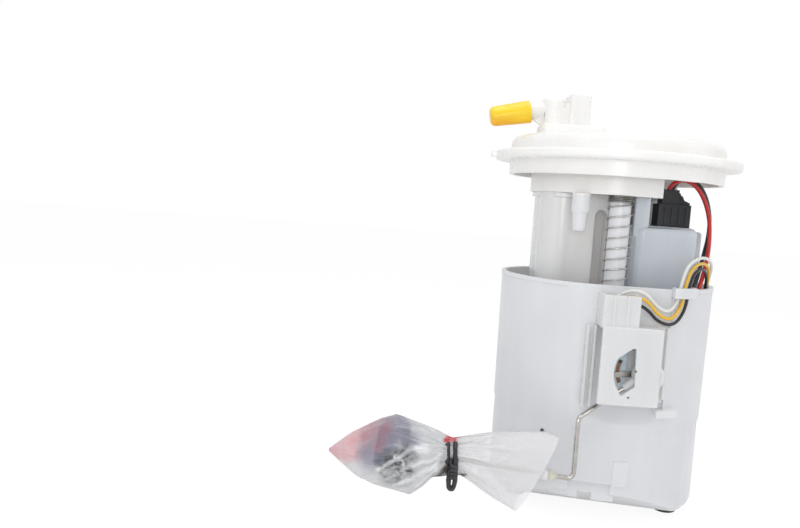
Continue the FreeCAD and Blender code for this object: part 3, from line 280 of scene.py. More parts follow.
# Vinyl cap
# A dipped vinyl cap in yellow is pushed over the nipple for shipping. Dipped vinyl is glossy, and painted
# shade turns its yellow orange toward the underside, between these two heights.
cap_yellow = (0.99, 0.71, 0.010)
cap_orange = (0.97, 0.48, 0.012)
cap_lit_z = 0.026
cap_shade_z = 0.0185
cap = moulded("outlet_cap", "vinyl_cap", easing=0.0004)
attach(cap, "outlet_cap")
cap_finish = Finish("dipped vinyl", Subsurface_Weight=0.15, Subsurface_Scale=0.003, Coat_Weight=0.25,
                    Coat_Roughness=0.2)
cap_tone = cap_finish.cloud(90.0, 2.0)
cap_shade = cap_finish.between(cap_finish.along("Z"), cap_lit_z, cap_shade_z)
cap_finish.paint(Base_Color=cap_finish.mix(cap_shade * 0.7 + cap_tone * 0.25, cap_yellow, cap_orange),
                 Roughness=0.3 + cap_tone * 0.14,
                 Normal=cap_finish.bump(cap_tone + cap_finish.cloud(700.0) * 0.15, 0.00012))
cap_finish.put_on(cap)

# Filter collar and canister
# The collar closes the filter and hangs under the cover, and the half-moon canister is welded to it.
# Both are natural plastic. The paper inside dulls the thin canister a little, and the collar's prong
# is painted a shade greyer below its step.
prong_step_z = -0.0162
prong_grey_z = -0.0185
lid = moulded("filter_lid", "filter_collar")
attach(lid, "head")
lid_finish = natural_moulding("collar acetal", (0.96, 0.945, 0.925), (0.91, 0.87, 0.81), milk=0.15)
# The prong's end below its step is painted greyer.
prong_share = lid_finish.between(lid_finish.along("Z"), prong_step_z, prong_grey_z)
lid_finish.tint(prong_share * 0.8, (0.76, 0.765, 0.79)).put_on(lid)

canister = moulded("filter_canister", "filter_case")
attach(canister, "head")
natural_moulding("canister acetal", (0.87, 0.86, 0.85), (0.80, 0.77, 0.74), gloss=0.2).put_on(canister)

paper = Finish("filter paper", roughness=0.85, Sheen_Weight=0.2)
paper_fibre = paper.cloud(2400.0, 4.0)
paper.paint(Base_Color=paper.mix(paper_fibre * 0.7, (0.74, 0.66, 0.46), (0.58, 0.49, 0.31)),
            Roughness=0.8 + paper_fibre * 0.15, Normal=paper.bump(paper_fibre, 0.00008))
paper.put_on("filter_element")

# Guides and spring
# Two grey acetal rods let the cup slide, and a steel spring round the front one pushes the cup down to
# the tank's floor and shortens as the cup rises. It is bright wire, with painted shade on its close-wound end
# coils.
rod_finish = natural_moulding("guide acetal", (0.82, 0.825, 0.835), (0.72, 0.725, 0.74), milk=0.6, gloss=0.22)
for node, name in (("front_guide_rod", "front_guide"), ("rear_guide_rod", "rear_guide")):
    guide = moulded(node, name, easing=0.0002)
    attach(guide, "head")
    rod_finish.put_on(guide)

wire_bright = (0.56, 0.555, 0.54)
wire_dark = (0.13, 0.125, 0.11)
coils_open_z = -0.0225
coils_closed_z = -0.0205
spring_finish = Finish("spring wire", Metallic=0.85)
# Painted shade: the close-wound end coils under the collar are darkened.
end_coil_shade = spring_finish.between(spring_finish.along("Z"), coils_open_z, coils_closed_z)
spring_scale = spring_finish.cloud(700.0, 3.0)
wire_tone = spring_finish.mix(end_coil_shade * 0.6 + spring_scale * 0.35, wire_bright, wire_dark)
spring_finish.paint(Base_Color=wire_tone, Roughness=0.18 + spring_scale * 0.2,
                    Normal=spring_finish.bump(spring_scale, 0.00002))
spring = moulded("front_spring", "cup_spring", easing=0.00005)
spring_finish.put_on(spring)
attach(spring, "head")
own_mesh(spring)

# Pump holder
# A thin-walled box of natural plastic holds the pump and hangs on a post from the collar. The steel
# pump shows through the wall, which makes the box look cool and grey.
holder = moulded("pump_holder", "pump_box")
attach(holder, "head")
holder_finish = natural_moulding("holder plastic", (0.67, 0.705, 0.755), (0.58, 0.62, 0.68), gloss=0.2)
holder_finish.put_on(holder)

# Pump
# The pump is a can of zinc-plated steel rolled over a plastic end cap and a cast inlet cover, on a
# rubber ring. Almost all of it is inside the holder.
plated = Finish("zinc plate", Metallic=1.0)
plate_grain = plated.cloud(500.0, 3.0, stretch=(1.0, 1.0, 0.08))
plated.paint(Base_Color=plated.mix(plate_grain * 0.6, (0.62, 0.62, 0.60), (0.48, 0.48, 0.45)),
             Roughness=0.26 + plate_grain * 0.2, Normal=plated.bump(plate_grain, 0.00002))
plated.put_on("pump_case", "pressure_regulator", "regulator_clip")

cast = Finish("cast alloy", Metallic=0.9)
cast_grain = cast.cloud(1600.0, 3.0)
cast.paint(Base_Color=cast.mix(cast_grain * 0.6, (0.60, 0.61, 0.62), (0.44, 0.45, 0.46)),
           Roughness=0.5 + cast_grain * 0.2, Normal=cast.bump(cast_grain, 0.0001))
cast.put_on("pump_inlet_cover", "pump_partition")

core_finish = Finish("motor laminations", Metallic=0.7)
lamination = core_finish.node("ShaderNodeTexWave", {"bands_direction": "Z"},
                              {"Vector": core_finish.place, "Scale": 320.0, "Distortion": 0.4}, "Fac")
core_finish.paint(Base_Color=core_finish.mix(lamination * 0.6, (0.30, 0.27, 0.25), (0.16, 0.14, 0.13)),
                  Roughness=0.5 + lamination * 0.15, Normal=core_finish.bump(lamination, 0.00005))
core_finish.put_on("pump_armature")

ferrite = Finish("ferrite", roughness=0.7)
ferrite_grain = ferrite.cloud(1800.0, 3.0)
ferrite.paint(Base_Color=ferrite.mix(ferrite_grain, (0.10, 0.10, 0.105), (0.06, 0.06, 0.065)),
              Roughness=0.62 + ferrite_grain * 0.2, Normal=ferrite.bump(ferrite_grain, 0.00006))
ferrite.put_on("pump_magnets")

black_nylon = Finish("black nylon", IOR=1.5, Specular_IOR_Level=0.35)
nylon_skin = black_nylon.cloud(1700.0, 2.0)
nylon_tone = black_nylon.cloud(60.0, 2.0)
black_nylon.paint(Base_Color=black_nylon.mix(nylon_tone * 0.8 + nylon_skin * 0.2, (0.030, 0.031, 0.034),
                                             (0.013, 0.014, 0.016)),
                  Roughness=0.34 + nylon_skin * 0.14,
                  Normal=black_nylon.bump(nylon_skin * 0.4 + nylon_tone, 0.00006))
black_nylon.put_on("pump_end_cap", "pump_impeller")

rubber = Finish("black rubber")
rubber_bloom = rubber.cloud(420.0, 4.0)
rubber.paint(Base_Color=rubber.mix(rubber_bloom, (0.018, 0.018, 0.018), (0.045, 0.043, 0.040)),
             Roughness=0.62 + rubber_bloom * 0.22, Normal=rubber.bump(rubber_bloom, 0.00008))
rubber.put_on("pump_cushion", "inlet_valve")

mesh_cloth = Finish("strainer cloth", roughness=0.8, Sheen_Weight=0.2)
warp = mesh_cloth.node("ShaderNodeTexWave", {"bands_direction": "X"},
                       {"Vector": mesh_cloth.place, "Scale": 420.0, "Distortion": 0.2}, "Fac")
weft = mesh_cloth.node("ShaderNodeTexWave", {"bands_direction": "Y"},
                       {"Vector": mesh_cloth.place, "Scale": 420.0, "Distortion": 0.2}, "Fac")
mesh_cloth.paint(Base_Color=mesh_cloth.mix(warp * weft, (0.50, 0.52, 0.50), (0.80, 0.82, 0.79)),
                 Roughness=0.7 + warp * 0.15, Normal=mesh_cloth.bump(warp * weft, 0.0001))
mesh_cloth.put_on("inlet_strainer")

poppet_finish = natural_moulding("valve acetal", (0.62, 0.63, 0.62), (0.52, 0.53, 0.52), milk=0.1)
poppet_finish.put_on("check_valve", "jet_pump", "arm_hub")

# Pump plug
# The two-way plug on the pump: a black shell with a narrower neck, a sprung latch at its right and
# moulded grip ribs on the front. The leads leave its top.
plug = moulded("pump_plug", "plug_shell", easing=0.00022)
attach(plug, "head")
black_nylon.put_on(plug)

# Pump leads
# Two PVC-covered leads, red and black, arch out of the plug, drop beside the holder into the cup and
# come up again at the back to the cover's pins. The skin is smooth and a little glossy.
pump_lead = 0.0022


def lead_line(name, route):
    """A lead's line: one smooth spline that has the route's points as its control points."""
    curve = bpy.data.curves.new(name, "CURVE")
    curve.dimensions = "3D"
    curve.resolution_u = 10
    spline = curve.splines.new("NURBS")
    spline.points.add(len(route) - 1)
    for point, place in zip(spline.points, route):
        point.co = (*place, 1.0)
    spline.order_u = 3
    spline.use_endpoint_u = True
    piece = bpy.data.objects.new(name, curve)
    bpy.context.collection.objects.link(piece)
    return piece


def thicken(piece, diameter):
    piece.data.bevel_depth = diameter / 2
    piece.data.bevel_resolution = 4
    piece.data.use_fill_caps = True


def insulation(name, colour, dusty):
    """The PVC skin of a lead."""
    finish = Finish(name, IOR=1.5)
    tone = finish.cloud(120.0, 3.0)
    skin = finish.cloud(1900.0, 2.0)
    finish.paint(Base_Color=finish.mix(tone * 0.55, colour, dusty), Roughness=0.28 + skin * 0.16,
                 Normal=finish.bump(skin * 0.5 + tone, 0.00004))
    return finish


red_route = [
    (0.0224, -0.0244, -0.0176), (0.0224, -0.0244, -0.0102), (0.0282, -0.0246, -0.0056),
    (0.0358, -0.0232, -0.0066), (0.0430, -0.0202, -0.0134), (0.0482, -0.0176, -0.0240),
    (0.0496, -0.0172, -0.0356), (0.0484, -0.0200, -0.0464), (0.0434, -0.0282, -0.0570),
    (0.0382, -0.0358, -0.0685), (0.0362, -0.0382, -0.0830), (0.0410, -0.0320, -0.0970),
    (0.0480, -0.0154, -0.1040), (0.0494, 0.0040, -0.1025), (0.0456, 0.0226, -0.0920),
    (0.0394, 0.0320, -0.0750), (0.0366, 0.0346, -0.0520), (0.0366, 0.0336, -0.0240),
    (0.0368, 0.0336, -0.0060), (0.0368, 0.0336, 0.0040)]
black_route = [
    (0.0254, -0.0206, -0.0176), (0.0254, -0.0206, -0.0100), (0.0310, -0.0204, -0.0050),
    (0.0386, -0.0188, -0.0056), (0.0456, -0.0156, -0.0120), (0.0502, -0.0128, -0.0230),
    (0.0504, -0.0132, -0.0340), (0.0474, -0.0166, -0.0446), (0.0420, -0.0262, -0.0545),
    (0.0356, -0.0360, -0.0665), (0.0324, -0.0404, -0.0825), (0.0378, -0.0358, -0.1005),
    (0.0464, -0.0180, -0.1085), (0.0484, 0.0046, -0.1076), (0.0432, 0.0244, -0.0964),
    (0.0360, 0.0336, -0.0790), (0.0332, 0.0362, -0.0540), (0.0342, 0.0308, -0.0240),
    (0.0364, 0.0296, -0.0070), (0.0364, 0.0296, 0.0040)]
red_pvc = insulation("red PVC", (0.60, 0.022, 0.020), (0.50, 0.03, 0.03))
black_pvc = insulation("black PVC", (0.016, 0.016, 0.018), (0.030, 0.030, 0.033))
for name, node, route, length, finish in (
        ("pump_lead_red", "red_lead", red_route, 0.2835, red_pvc),
        ("pump_lead_black", "black_lead", black_route, 0.3021, black_pvc)):
    piece = lead_line(name, route)
    thicken(piece, pump_lead)
    finish.put_on(piece)
    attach(piece, "head")
    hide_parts(node)

# Sender leads
# Three thinner leads, yellow, black and white, run from the level sender under the clip on the rim,
# arch over the rim and go round inside the cup to the cover. They flex as the cup rises.
sender_lead = 0.0016
yellow_route = [
    (-0.0137, -0.0586, -0.0700), (-0.0084, -0.0586, -0.0700), (-0.0018, -0.0602, -0.0648),
    (0.0060, -0.0612, -0.0660), (0.0118, -0.0604, -0.0730), (0.0196, -0.0578, -0.0758),
    (0.0258, -0.0528, -0.0688), (0.0268, -0.0515, -0.0600), (0.0298, -0.0494, -0.0504),
    (0.0380, -0.0418, -0.0468), (0.0460, -0.0310, -0.0506), (0.0486, -0.0222, -0.0616),
    (0.0502, -0.0130, -0.0726), (0.0518, 0.0006, -0.0764), (0.0490, 0.0170, -0.0700),
    (0.0450, 0.0270, -0.0540), (0.0426, 0.0308, -0.0340), (0.0408, 0.0334, -0.0104),
    (0.0408, 0.0334, 0.0040)]
sender_black_route = [
    (-0.0137, -0.0586, -0.0734), (-0.0064, -0.0586, -0.0734), (0.0004, -0.0600, -0.0680),
    (0.0068, -0.0600, -0.0706), (0.0126, -0.0590, -0.0766), (0.0216, -0.0560, -0.0786),
    (0.0280, -0.0516, -0.0710), (0.0294, -0.0501, -0.0600), (0.0324, -0.0468, -0.0526),
    (0.0388, -0.0398, -0.0498), (0.0452, -0.0304, -0.0540), (0.0474, -0.0232, -0.0640),
    (0.0490, -0.0140, -0.0758), (0.0504, 0.0004, -0.0798), (0.0474, 0.0172, -0.0734),
    (0.0432, 0.0268, -0.0570), (0.0404, 0.0300, -0.0360), (0.0402, 0.0300, -0.0104),
    (0.0402, 0.0300, 0.0040)]
white_route = [
    (-0.0137, -0.0586, -0.0666), (-0.0092, -0.0586, -0.0666), (-0.0032, -0.0598, -0.0620),
    (0.0048, -0.0604, -0.0622), (0.0108, -0.0596, -0.0688), (0.0176, -0.0580, -0.0722),
    (0.0232, -0.0538, -0.0670), (0.0242, -0.0528, -0.0596), (0.0274, -0.0506, -0.0482),
    (0.0374, -0.0432, -0.0438), (0.0476, -0.0310, -0.0476), (0.0494, -0.0202, -0.0602),
    (0.0512, -0.0116, -0.0694), (0.0526, 0.0008, -0.0730), (0.0506, 0.0168, -0.0666),
    (0.0466, 0.0264, -0.0510), (0.0444, 0.0296, -0.0320), (0.0436, 0.0314, -0.0104),
    (0.0436, 0.0314, 0.0040)]


def tube_along(line, diameter):
    """Turns a lead's line into a mesh tube, and gives the tube with the points that it follows."""
    bare = bpy.data.meshes.new_from_object(line)
    path = [tuple(vertex.co) for vertex in bare.vertices]
    bpy.data.meshes.remove(bare)
    thicken(line, diameter)
    name = line.name
    mesh = bpy.data.meshes.new_from_object(line)
    bpy.data.objects.remove(line)
    tube = bpy.data.objects.new(name, mesh)
    bpy.context.collection.objects.link(tube)
    for face in mesh.polygons:
        face.use_smooth = True
    return tube, path


yellow_pvc = insulation("yellow PVC", (0.86, 0.52, 0.035), (0.74, 0.42, 0.03))
white_pvc = insulation("white PVC", (0.82, 0.82, 0.80), (0.70, 0.70, 0.67))
for name, node, slot, route, length, finish in (
        ("sender_lead_yellow", "yellow_lead", "yellow_insulation", yellow_route, 0.2286, yellow_pvc),
        ("sender_lead_black", "sender_black_lead", "black_insulation", sender_black_route, 0.2303, black_pvc),
        ("sender_lead_white", "white_lead", "white_insulation", white_route, 0.2233, white_pvc)):
    piece, path = tube_along(lead_line(name, route), sender_lead)
    finish.put_on(piece)
    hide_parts(node)
    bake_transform(piece)

# Reservoir cup
# The cup is one deep moulding, a shade greyer than the cover, with a step at the ledge, a flat for the
# sender, a sloping front at its foot, and the clip and guard for the sender's leads.
cup = moulded("reservoir_cup", "cup_shell")
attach(cup, "reservoir")
cup_finish = natural_moulding("cup plastic", (0.80, 0.805, 0.82), (0.73, 0.735, 0.745), gloss=0.36,
                              streak=(1.0, 1.0, 0.05))
cup_finish.put_on(cup)

# Two pads of the same rubber as the pump's cushion are pressed into the cup's floor.
rubber.put_on("cup_feet")

# Level sender
# The sender's housing clips to the flat on the cup, with painted shade for two small holes in its face.
# Through its window show a pale ceramic card with a printed track, and the wiper that the arm drags over it.
housing = moulded("sender_housing", "sender_case", easing=0.00022)
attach(housing, "reservoir")
sender_finish = natural_moulding("sender acetal", (0.76, 0.76, 0.76), (0.70, 0.69, 0.68))
hole_shade_reach = 0.0008
hole_shade_back_y = -0.0640
hole_shade_front_y = -0.0648
# Painted shade: two dark dots stand for the shade inside two small holes in the face.
hole_shade = sender_finish.strokes((0.0022, -0.1004, 0.0024, -0.1004, hole_shade_reach),
                             (-0.0004, -0.1133, -0.0002, -0.1133, hole_shade_reach), unsteady=0.0)
sender_face = sender_finish.between(sender_finish.along("Y"), hole_shade_back_y, hole_shade_front_y)
sender_finish.tint(hole_shade * sender_face, (0.10, 0.085, 0.07)).put_on(housing)

card = Finish("ceramic card", roughness=0.3, IOR=1.6)
card_grain = card.cloud(800.0, 2.0)
card.paint(Base_Color=card.mix(card_grain * 0.4, (0.66, 0.76, 0.82), (0.55, 0.66, 0.73)),
           Roughness=0.22 + card_grain * 0.12, Normal=card.bump(card_grain, 0.00002))
card.put_on("resistor_card")

track_brown_z = -0.0990
track_black_z = -0.0984
track = Finish("printed track", roughness=0.4)
track_ink = track.between(track.along("Z"), track_brown_z, track_black_z)
track_grain = track.cloud(1300.0, 2.0)
track_tone = track.mix(track_ink, (0.30, 0.15, 0.085), (0.022, 0.022, 0.024))
track.paint(Base_Color=track.mix(track_grain * 0.3, track_tone, (0.16, 0.10, 0.08)),
            Roughness=0.34 + track_grain * 0.2, Normal=track.bump(track_grain, 0.00003))
track.put_on("contact_strips")

nickel = Finish("nickel strip", Metallic=1.0)
nickel_grain = nickel.cloud(900.0, 2.0, stretch=(0.1, 1.0, 1.0))
nickel.paint(Base_Color=nickel.mix(nickel_grain * 0.5, (0.40, 0.38, 0.36), (0.26, 0.24, 0.22)),
             Roughness=0.22 + nickel_grain * 0.2, Normal=nickel.bump(nickel_grain, 0.00002))
nickel.put_on("wiper")

# Float arm
# The arm is drawn stainless wire, bent cold; a rolled sleeve on it near the bag is milky with an olive
# band, and the float is a block of closed-cell black foam.
arm_wire = Finish("drawn wire", Metallic=1.0)
draw_marks = arm_wire.cloud(260.0, 3.0, stretch=(0.2, 1.0, 1.0))
wire_pits = arm_wire.cloud(1500.0, 3.0)
arm_wire.paint(Base_Color=arm_wire.mix(draw_marks * 0.5, (0.50, 0.485, 0.46), (0.36, 0.345, 0.325)),
               Roughness=0.22 + wire_pits * 0.1,
               Normal=arm_wire.bump(wire_pits * 0.05 + draw_marks, 0.000005))
arm_wire.put_on("float_arm_wire")

milky_x = -0.0372
olive_x = -0.0366
sleeve = Finish("arm sleeve", Subsurface_Weight=0.2, Subsurface_Scale=0.002)
sleeve_band = sleeve.between(sleeve.along("X"), milky_x, olive_x)
sleeve_tone = sleeve.cloud(500.0, 2.0)
sleeve_olive = sleeve.mix(sleeve_tone, (0.56, 0.55, 0.44), (0.68, 0.67, 0.59))
sleeve.paint(Base_Color=sleeve.mix(sleeve_band, (0.80, 0.80, 0.80), sleeve_olive),
             Roughness=0.34 + sleeve_tone * 0.2, Normal=sleeve.bump(sleeve_tone, 0.00006))
sleeve.put_on("arm_bead")

foam = Finish("closed-cell foam", roughness=0.8)
cells = foam.node("ShaderNodeTexVoronoi", {}, {"Vector": foam.place, "Scale": 1400.0}, "Distance")
foam_tone = foam.cloud(160.0, 3.0)
foam.paint(Base_Color=foam.mix(foam_tone, (0.022, 0.025, 0.026), (0.055, 0.060, 0.060)),
           Roughness=0.62 + foam_tone * 0.2, Normal=foam.bump(cells * 0.5 + foam_tone, 0.0001))
foam.put_on("float")

# Film bag
# A thin film bag is pulled over the float for shipping. It is closed in a point on the left, gathered
# round the wire under the tie, and open and flared on the right. Creases fan out from the gather; the film
# is milkier along them, and painted highlights lighten them.
gather_x = -0.0830
closed_top = [(-0.1418, -0.1472), (-0.1313, -0.1391), (-0.1180, -0.1315), (-0.1106, -0.1288),
              (-0.1075, -0.1296), (-0.0965, -0.1330), (-0.0869, -0.1368), (gather_x, -0.1378)]
closed_bottom = [(-0.1418, -0.1484), (-0.1277, -0.1588), (-0.1182, -0.1621), (-0.1018, -0.1656),
                 (-0.0960, -0.1612), (-0.0915, -0.1562), (-0.0870, -0.1558), (gather_x, -0.1552)]
open_top = [(gather_x, -0.1378), (-0.0760, -0.1364), (-0.0665, -0.1341), (-0.0513, -0.1328),
            (-0.0394, -0.1321), (-0.0330, -0.1340)]
open_bottom = [(gather_x, -0.1552), (-0.0780, -0.1548), (-0.0723, -0.1581), (-0.0632, -0.1643),
               (-0.0509, -0.1710)]
film_depths = [(-0.1418, 0.0006), (-0.1330, 0.0080), (-0.1210, 0.0118), (-0.1065, 0.0126),
               (-0.0965, 0.0116), (-0.0895, 0.0103), (-0.0868, 0.0064), (-0.0842, 0.0029),
               (-0.0815, 0.0024), (-0.0770, 0.0040), (-0.0665, 0.0060), (-0.0513, 0.0070),
               (-0.0330, 0.0074)]
bag_middle_y = -0.0700
bag_rows = 76
bag_columns = 132
pleat_height = 0.0010
crumple_height = 0.0014
fine_crumple_height = 0.0004


def along_outline(points, share):
    """The point at that share of an outline's length."""
    lengths = [math.dist(first, second) for first, second in zip(points, points[1:])]
    left = share * sum(lengths)
    for first, second, length in zip(points, points[1:], lengths):
        if left <= length:
            return Vector(first).lerp(Vector(second), left / length)
        left -= length
    return Vector(points[-1])


def depth_at(x):
    """How far the film stands from its middle plane at that x."""
    for (near, thin), (far, thick) in zip(film_depths, film_depths[1:]):
        if x <= far:
            return thin + (thick - thin) * (x - near) / (far - near)
    return film_depths[-1][1]


def film_half(top, bottom, toward_neck):
    """Rings for one half of the bag: each one's top, bottom, depth and nearness to the gather."""
    rings = []
    for row in range(bag_rows + 1):
        share = row / bag_rows
        upper = along_outline(top, share)
        lower = along_outline(bottom, share)
        depth = depth_at((upper.x + lower.x) / 2)
        gather = share if toward_neck else 1.0 - share
        rings.append((upper, lower, depth, gather))
    return rings


def film_point(upper, lower, depth, gather, turn):
    """A point of the film, with its pleats, which deepen toward the gather, and its crumples."""
    middle = (upper + lower) / 2
    half = (upper - lower) / 2
    out = math.copysign(abs(math.cos(turn)) ** 0.85, math.cos(turn))
    fan = 0.55 * math.sin(7 * turn + 0.6) + 0.4 * math.sin(12 * turn + 2.1)
    fan += 0.2 * math.sin(19 * turn + 4.0)
    pleat = pleat_height * fan * gather ** 1.6 * min(1.0, half.length / 0.008)
    spot = Vector((math.cos(turn) * 2.6, math.sin(turn) * 2.6, gather * 1.3 + middle.x * 20))
    crumple = crumple_height * (0.40 - abs(noise.noise(spot)))
    crumple += fine_crumple_height * (0.4 - abs(noise.noise(spot * 2.9)))
    lift = (pleat + crumple * min(0.35 + gather, 1.2 - gather)) * min(1.0, half.length / 0.004)
    reach = 1.0 + lift / max(half.length, 0.002)
    place = middle + half * (math.sin(turn) * reach)
    return place.x, bag_middle_y + (depth + lift) * out, place.y


def build_film(name):
    """The film as one skin of rings, closed at the left end and open at the right."""
    rings = film_half(closed_top, closed_bottom, toward_neck=True)
    rings += film_half(open_top, open_bottom, toward_neck=False)[1:]
    shape = bmesh.new()
    layer = shape.loops.layers.uv.new("UVMap")
    grid = []
    for ring in rings:
        turns = [2 * math.pi * column / bag_columns for column in range(bag_columns)]
        grid.append([shape.verts.new(film_point(*ring, turn)) for turn in turns])
    for row, (near, far) in enumerate(zip(grid, grid[1:])):
        for column in range(bag_columns):
            after = (column + 1) % bag_columns
            face = shape.faces.new((near[column], near[after], far[after], far[column]))
            face.smooth = True
            for loop, (u, v) in zip(face.loops, ((0, 0), (1, 0), (1, 1), (0, 1))):
                loop[layer].uv = ((column + u) / bag_columns, (row + v) / (2 * bag_rows))
    tip = shape.faces.new(grid[0][::-1])
    tip.smooth = True
    bmesh.ops.recalc_face_normals(shape, faces=shape.faces)
    mesh = bpy.data.meshes.new(name)
    shape.to_mesh(mesh)
    shape.free()
    piece = bpy.data.objects.new(name, mesh)
    bpy.context.collection.objects.link(piece)
    return piece


film_bag = build_film("shipping_film")
film = Finish("thin film", IOR=1.45, Specular_IOR_Level=0.4)
unwrapped = film.node("ShaderNodeUVMap", {"uv_map": "UVMap"}, {}, "UV")


def crease(across, along, detail):
    """Creases that run from the gather to the ends of the film, so many across it and along it."""
    drawn = film.node("ShaderNodeMapping", {}, {"Vector": unwrapped, "Scale": (across, along, 1.0)})
    ridge = film.node("ShaderNodeTexNoise", {}, {"Vector": drawn, "Scale": 1.0, "Detail": detail,
                                                 "Distortion": 0.4}, "Fac")
    return film.between(film.maths("ABSOLUTE", ridge - 0.5, 0.0), 0.045, 0.0)


film_x = film.along("X")
to_gather = film.between(film.maths("ABSOLUTE", film_x - gather_x, 0.0), 0.034, 0.004)
folds = crease(15.0, 4.0, 1.0) * (0.15 + to_gather * 0.85)
fine_folds = crease(44.0, 11.0, 2.0) * (0.1 + to_gather * 0.9)
haze = film.cloud(120.0, 3.0)

# The film's tints, painted highlight streaks along its creases, and the dark patch where it lies on the
# float.
pink = film.strokes((-0.1425, -0.1470, -0.1250, -0.1360, 0.0105),
                    (-0.1340, -0.1455, -0.1240, -0.1400, 0.0095))
red = film.strokes((-0.1240, -0.1362, -0.1150, -0.1318, 0.0064),
                   (-0.1160, -0.1330, -0.1190, -0.1420, 0.0044))
blue = film.strokes((-0.1205, -0.1450, -0.1112, -0.1322, 0.0122),
                    (-0.1110, -0.1320, -0.1035, -0.1380, 0.0085))
contact = film.strokes((-0.1140, -0.1478, -0.1050, -0.1440, 0.0068),
                       (-0.1125, -0.1550, -0.1060, -0.1540, 0.0080))
# Painted highlights: bright streaks along creases that fan out from the gather.
highlight_streaks = film.strokes((-0.1010, -0.1398, -0.1178, -0.1520, 0.0016),
                      (-0.0960, -0.1408, -0.1015, -0.1404, 0.0034),
                      (-0.0895, -0.1445, -0.1065, -0.1512, 0.0014),
                      (-0.0895, -0.1480, -0.1085, -0.1592, 0.0016),
                      (-0.1095, -0.1440, -0.1050, -0.1500, 0.0010),
                      (-0.0900, -0.1500, -0.0990, -0.1600, 0.0012))
highlight_streaks = highlight_streaks * (0.35 + haze * 0.65)
contact = contact * (0.35 + film.cloud(420.0, 3.0) * 0.65) * (1.0 - folds * 0.7)
red_edge = film.strokes((-0.0856, -0.1374, -0.0822, -0.1376, 0.0026))
brown_edge = film.strokes((-0.0912, -0.1566, -0.0775, -0.1554, 0.0020),
                          (-0.0882, -0.1550, -0.0856, -0.1510, 0.0030))
open_side = film.between(film_x, -0.086, -0.076)
film_colour = film.mix(open_side, (0.76, 0.76, 0.77), (0.82, 0.80, 0.81))
film_colour = film.mix(pink * (0.55 + haze * 0.35), film_colour, (0.80, 0.37, 0.39))
film_colour = film.mix(blue * 0.9, film_colour, (0.235, 0.228, 0.305))
film_colour = film.mix(red * (0.35 + haze * 0.25), film_colour, (0.44, 0.17, 0.21))
film_colour = film.mix(contact, film_colour, (0.085, 0.11, 0.11))
film_colour = film.mix(red_edge, film_colour, (0.62, 0.02, 0.03))
film_colour = film.mix(brown_edge, film_colour, (0.060, 0.030, 0.022))
# Painted highlights: the film colour is lightened along its creases and the highlight streaks.
film_colour = film.mix(folds * 0.35 + fine_folds * 0.2 + highlight_streaks * 0.8, film_colour, (0.94, 0.94, 0.95))
cover_share = (0.76 - contact * 0.25 + folds * 0.12 + fine_folds * 0.06 + highlight_streaks * 0.12 - open_side * 0.14
               + brown_edge * 0.24 + red_edge * 0.2)
film.paint(Base_Color=film_colour, Alpha=cover_share, Roughness=0.24 + haze * 0.16,
           Normal=film.bump(folds + fine_folds * 0.4 + highlight_streaks * 1.2 + haze * 0.2, 0.0003))
film.put_on(film_bag)
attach(film_bag, "float_arm")
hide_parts("float_bag")

# Twist tie
# A plastic-covered wire tie goes twice round the gathered film and is twisted below it into a loop.


def strand(name, route, radius, closed=False):
    """A round strand of the tie, as a mesh."""
    line = lead_line(name, route)
    line.data.splines[0].use_cyclic_u = closed
    return tube_along(line, 2 * radius)[0]


tie_middle_z = -0.1475


def turn_round(x, lean):
    """One turn of the tie round the arm's wire at that x, leaning to one side as it rises."""
    corners = [(-0.0733, -0.1410), (-0.0736, -0.1450), (-0.0736, -0.1500), (-0.0724, -0.1540),
               (-0.0676, -0.1540), (-0.0664, -0.1500), (-0.0664, -0.1450), (-0.0667, -0.1410),
               (-0.0682, -0.1398), (-0.0718, -0.1398)]
    return [(x + lean * (z - tie_middle_z), y, z) for y, z in corners]


tie_loop = [(-0.0836, -0.0736, -0.1470), (-0.0839, -0.0744, -0.1520), (-0.0839, -0.0744, -0.1560),
            (-0.0839, -0.0742, -0.1600), (-0.0824, -0.0741, -0.1618), (-0.0810, -0.0742, -0.1600),
            (-0.0810, -0.0744, -0.1560), (-0.0810, -0.0744, -0.1520), (-0.0813, -0.0736, -0.1470)]
wrap_middle = Vector((-0.08245, -0.0744, -0.1486))
wrap_drop = 0.00045
tie_wrap = [(wrap_middle.x + 0.0015 * math.cos(quarter * math.pi / 2),
             wrap_middle.y + 0.0014 * math.sin(quarter * math.pi / 2),
             wrap_middle.z - wrap_drop * quarter) for quarter in range(17)]
tie_parts = [strand("twist_tie", turn_round(x=-0.0854, lean=-0.05), radius=0.0014, closed=True),
             strand("tie_second_turn", turn_round(x=-0.0815, lean=-0.03), radius=0.00105, closed=True),
             strand("tie_loop", tie_loop, radius=0.0012),
             strand("tie_wrap", tie_wrap, radius=0.0011)]
bpy.ops.object.select_all(action="DESELECT")
for part in tie_parts:
    part.select_set(True)
bpy.context.view_layer.objects.active = tie_parts[0]
bpy.ops.object.join()
tie = tie_parts[0]
dent_depth = 0.00034
for vertex in tie.data.vertices:
    dent = noise.noise(vertex.co * 420.0) * dent_depth
    vertex.co += Vector((dent, dent * 0.6, 0.0))
black_pvc.put_on(tie)
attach(tie, "float_arm")
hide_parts("bag_tie")

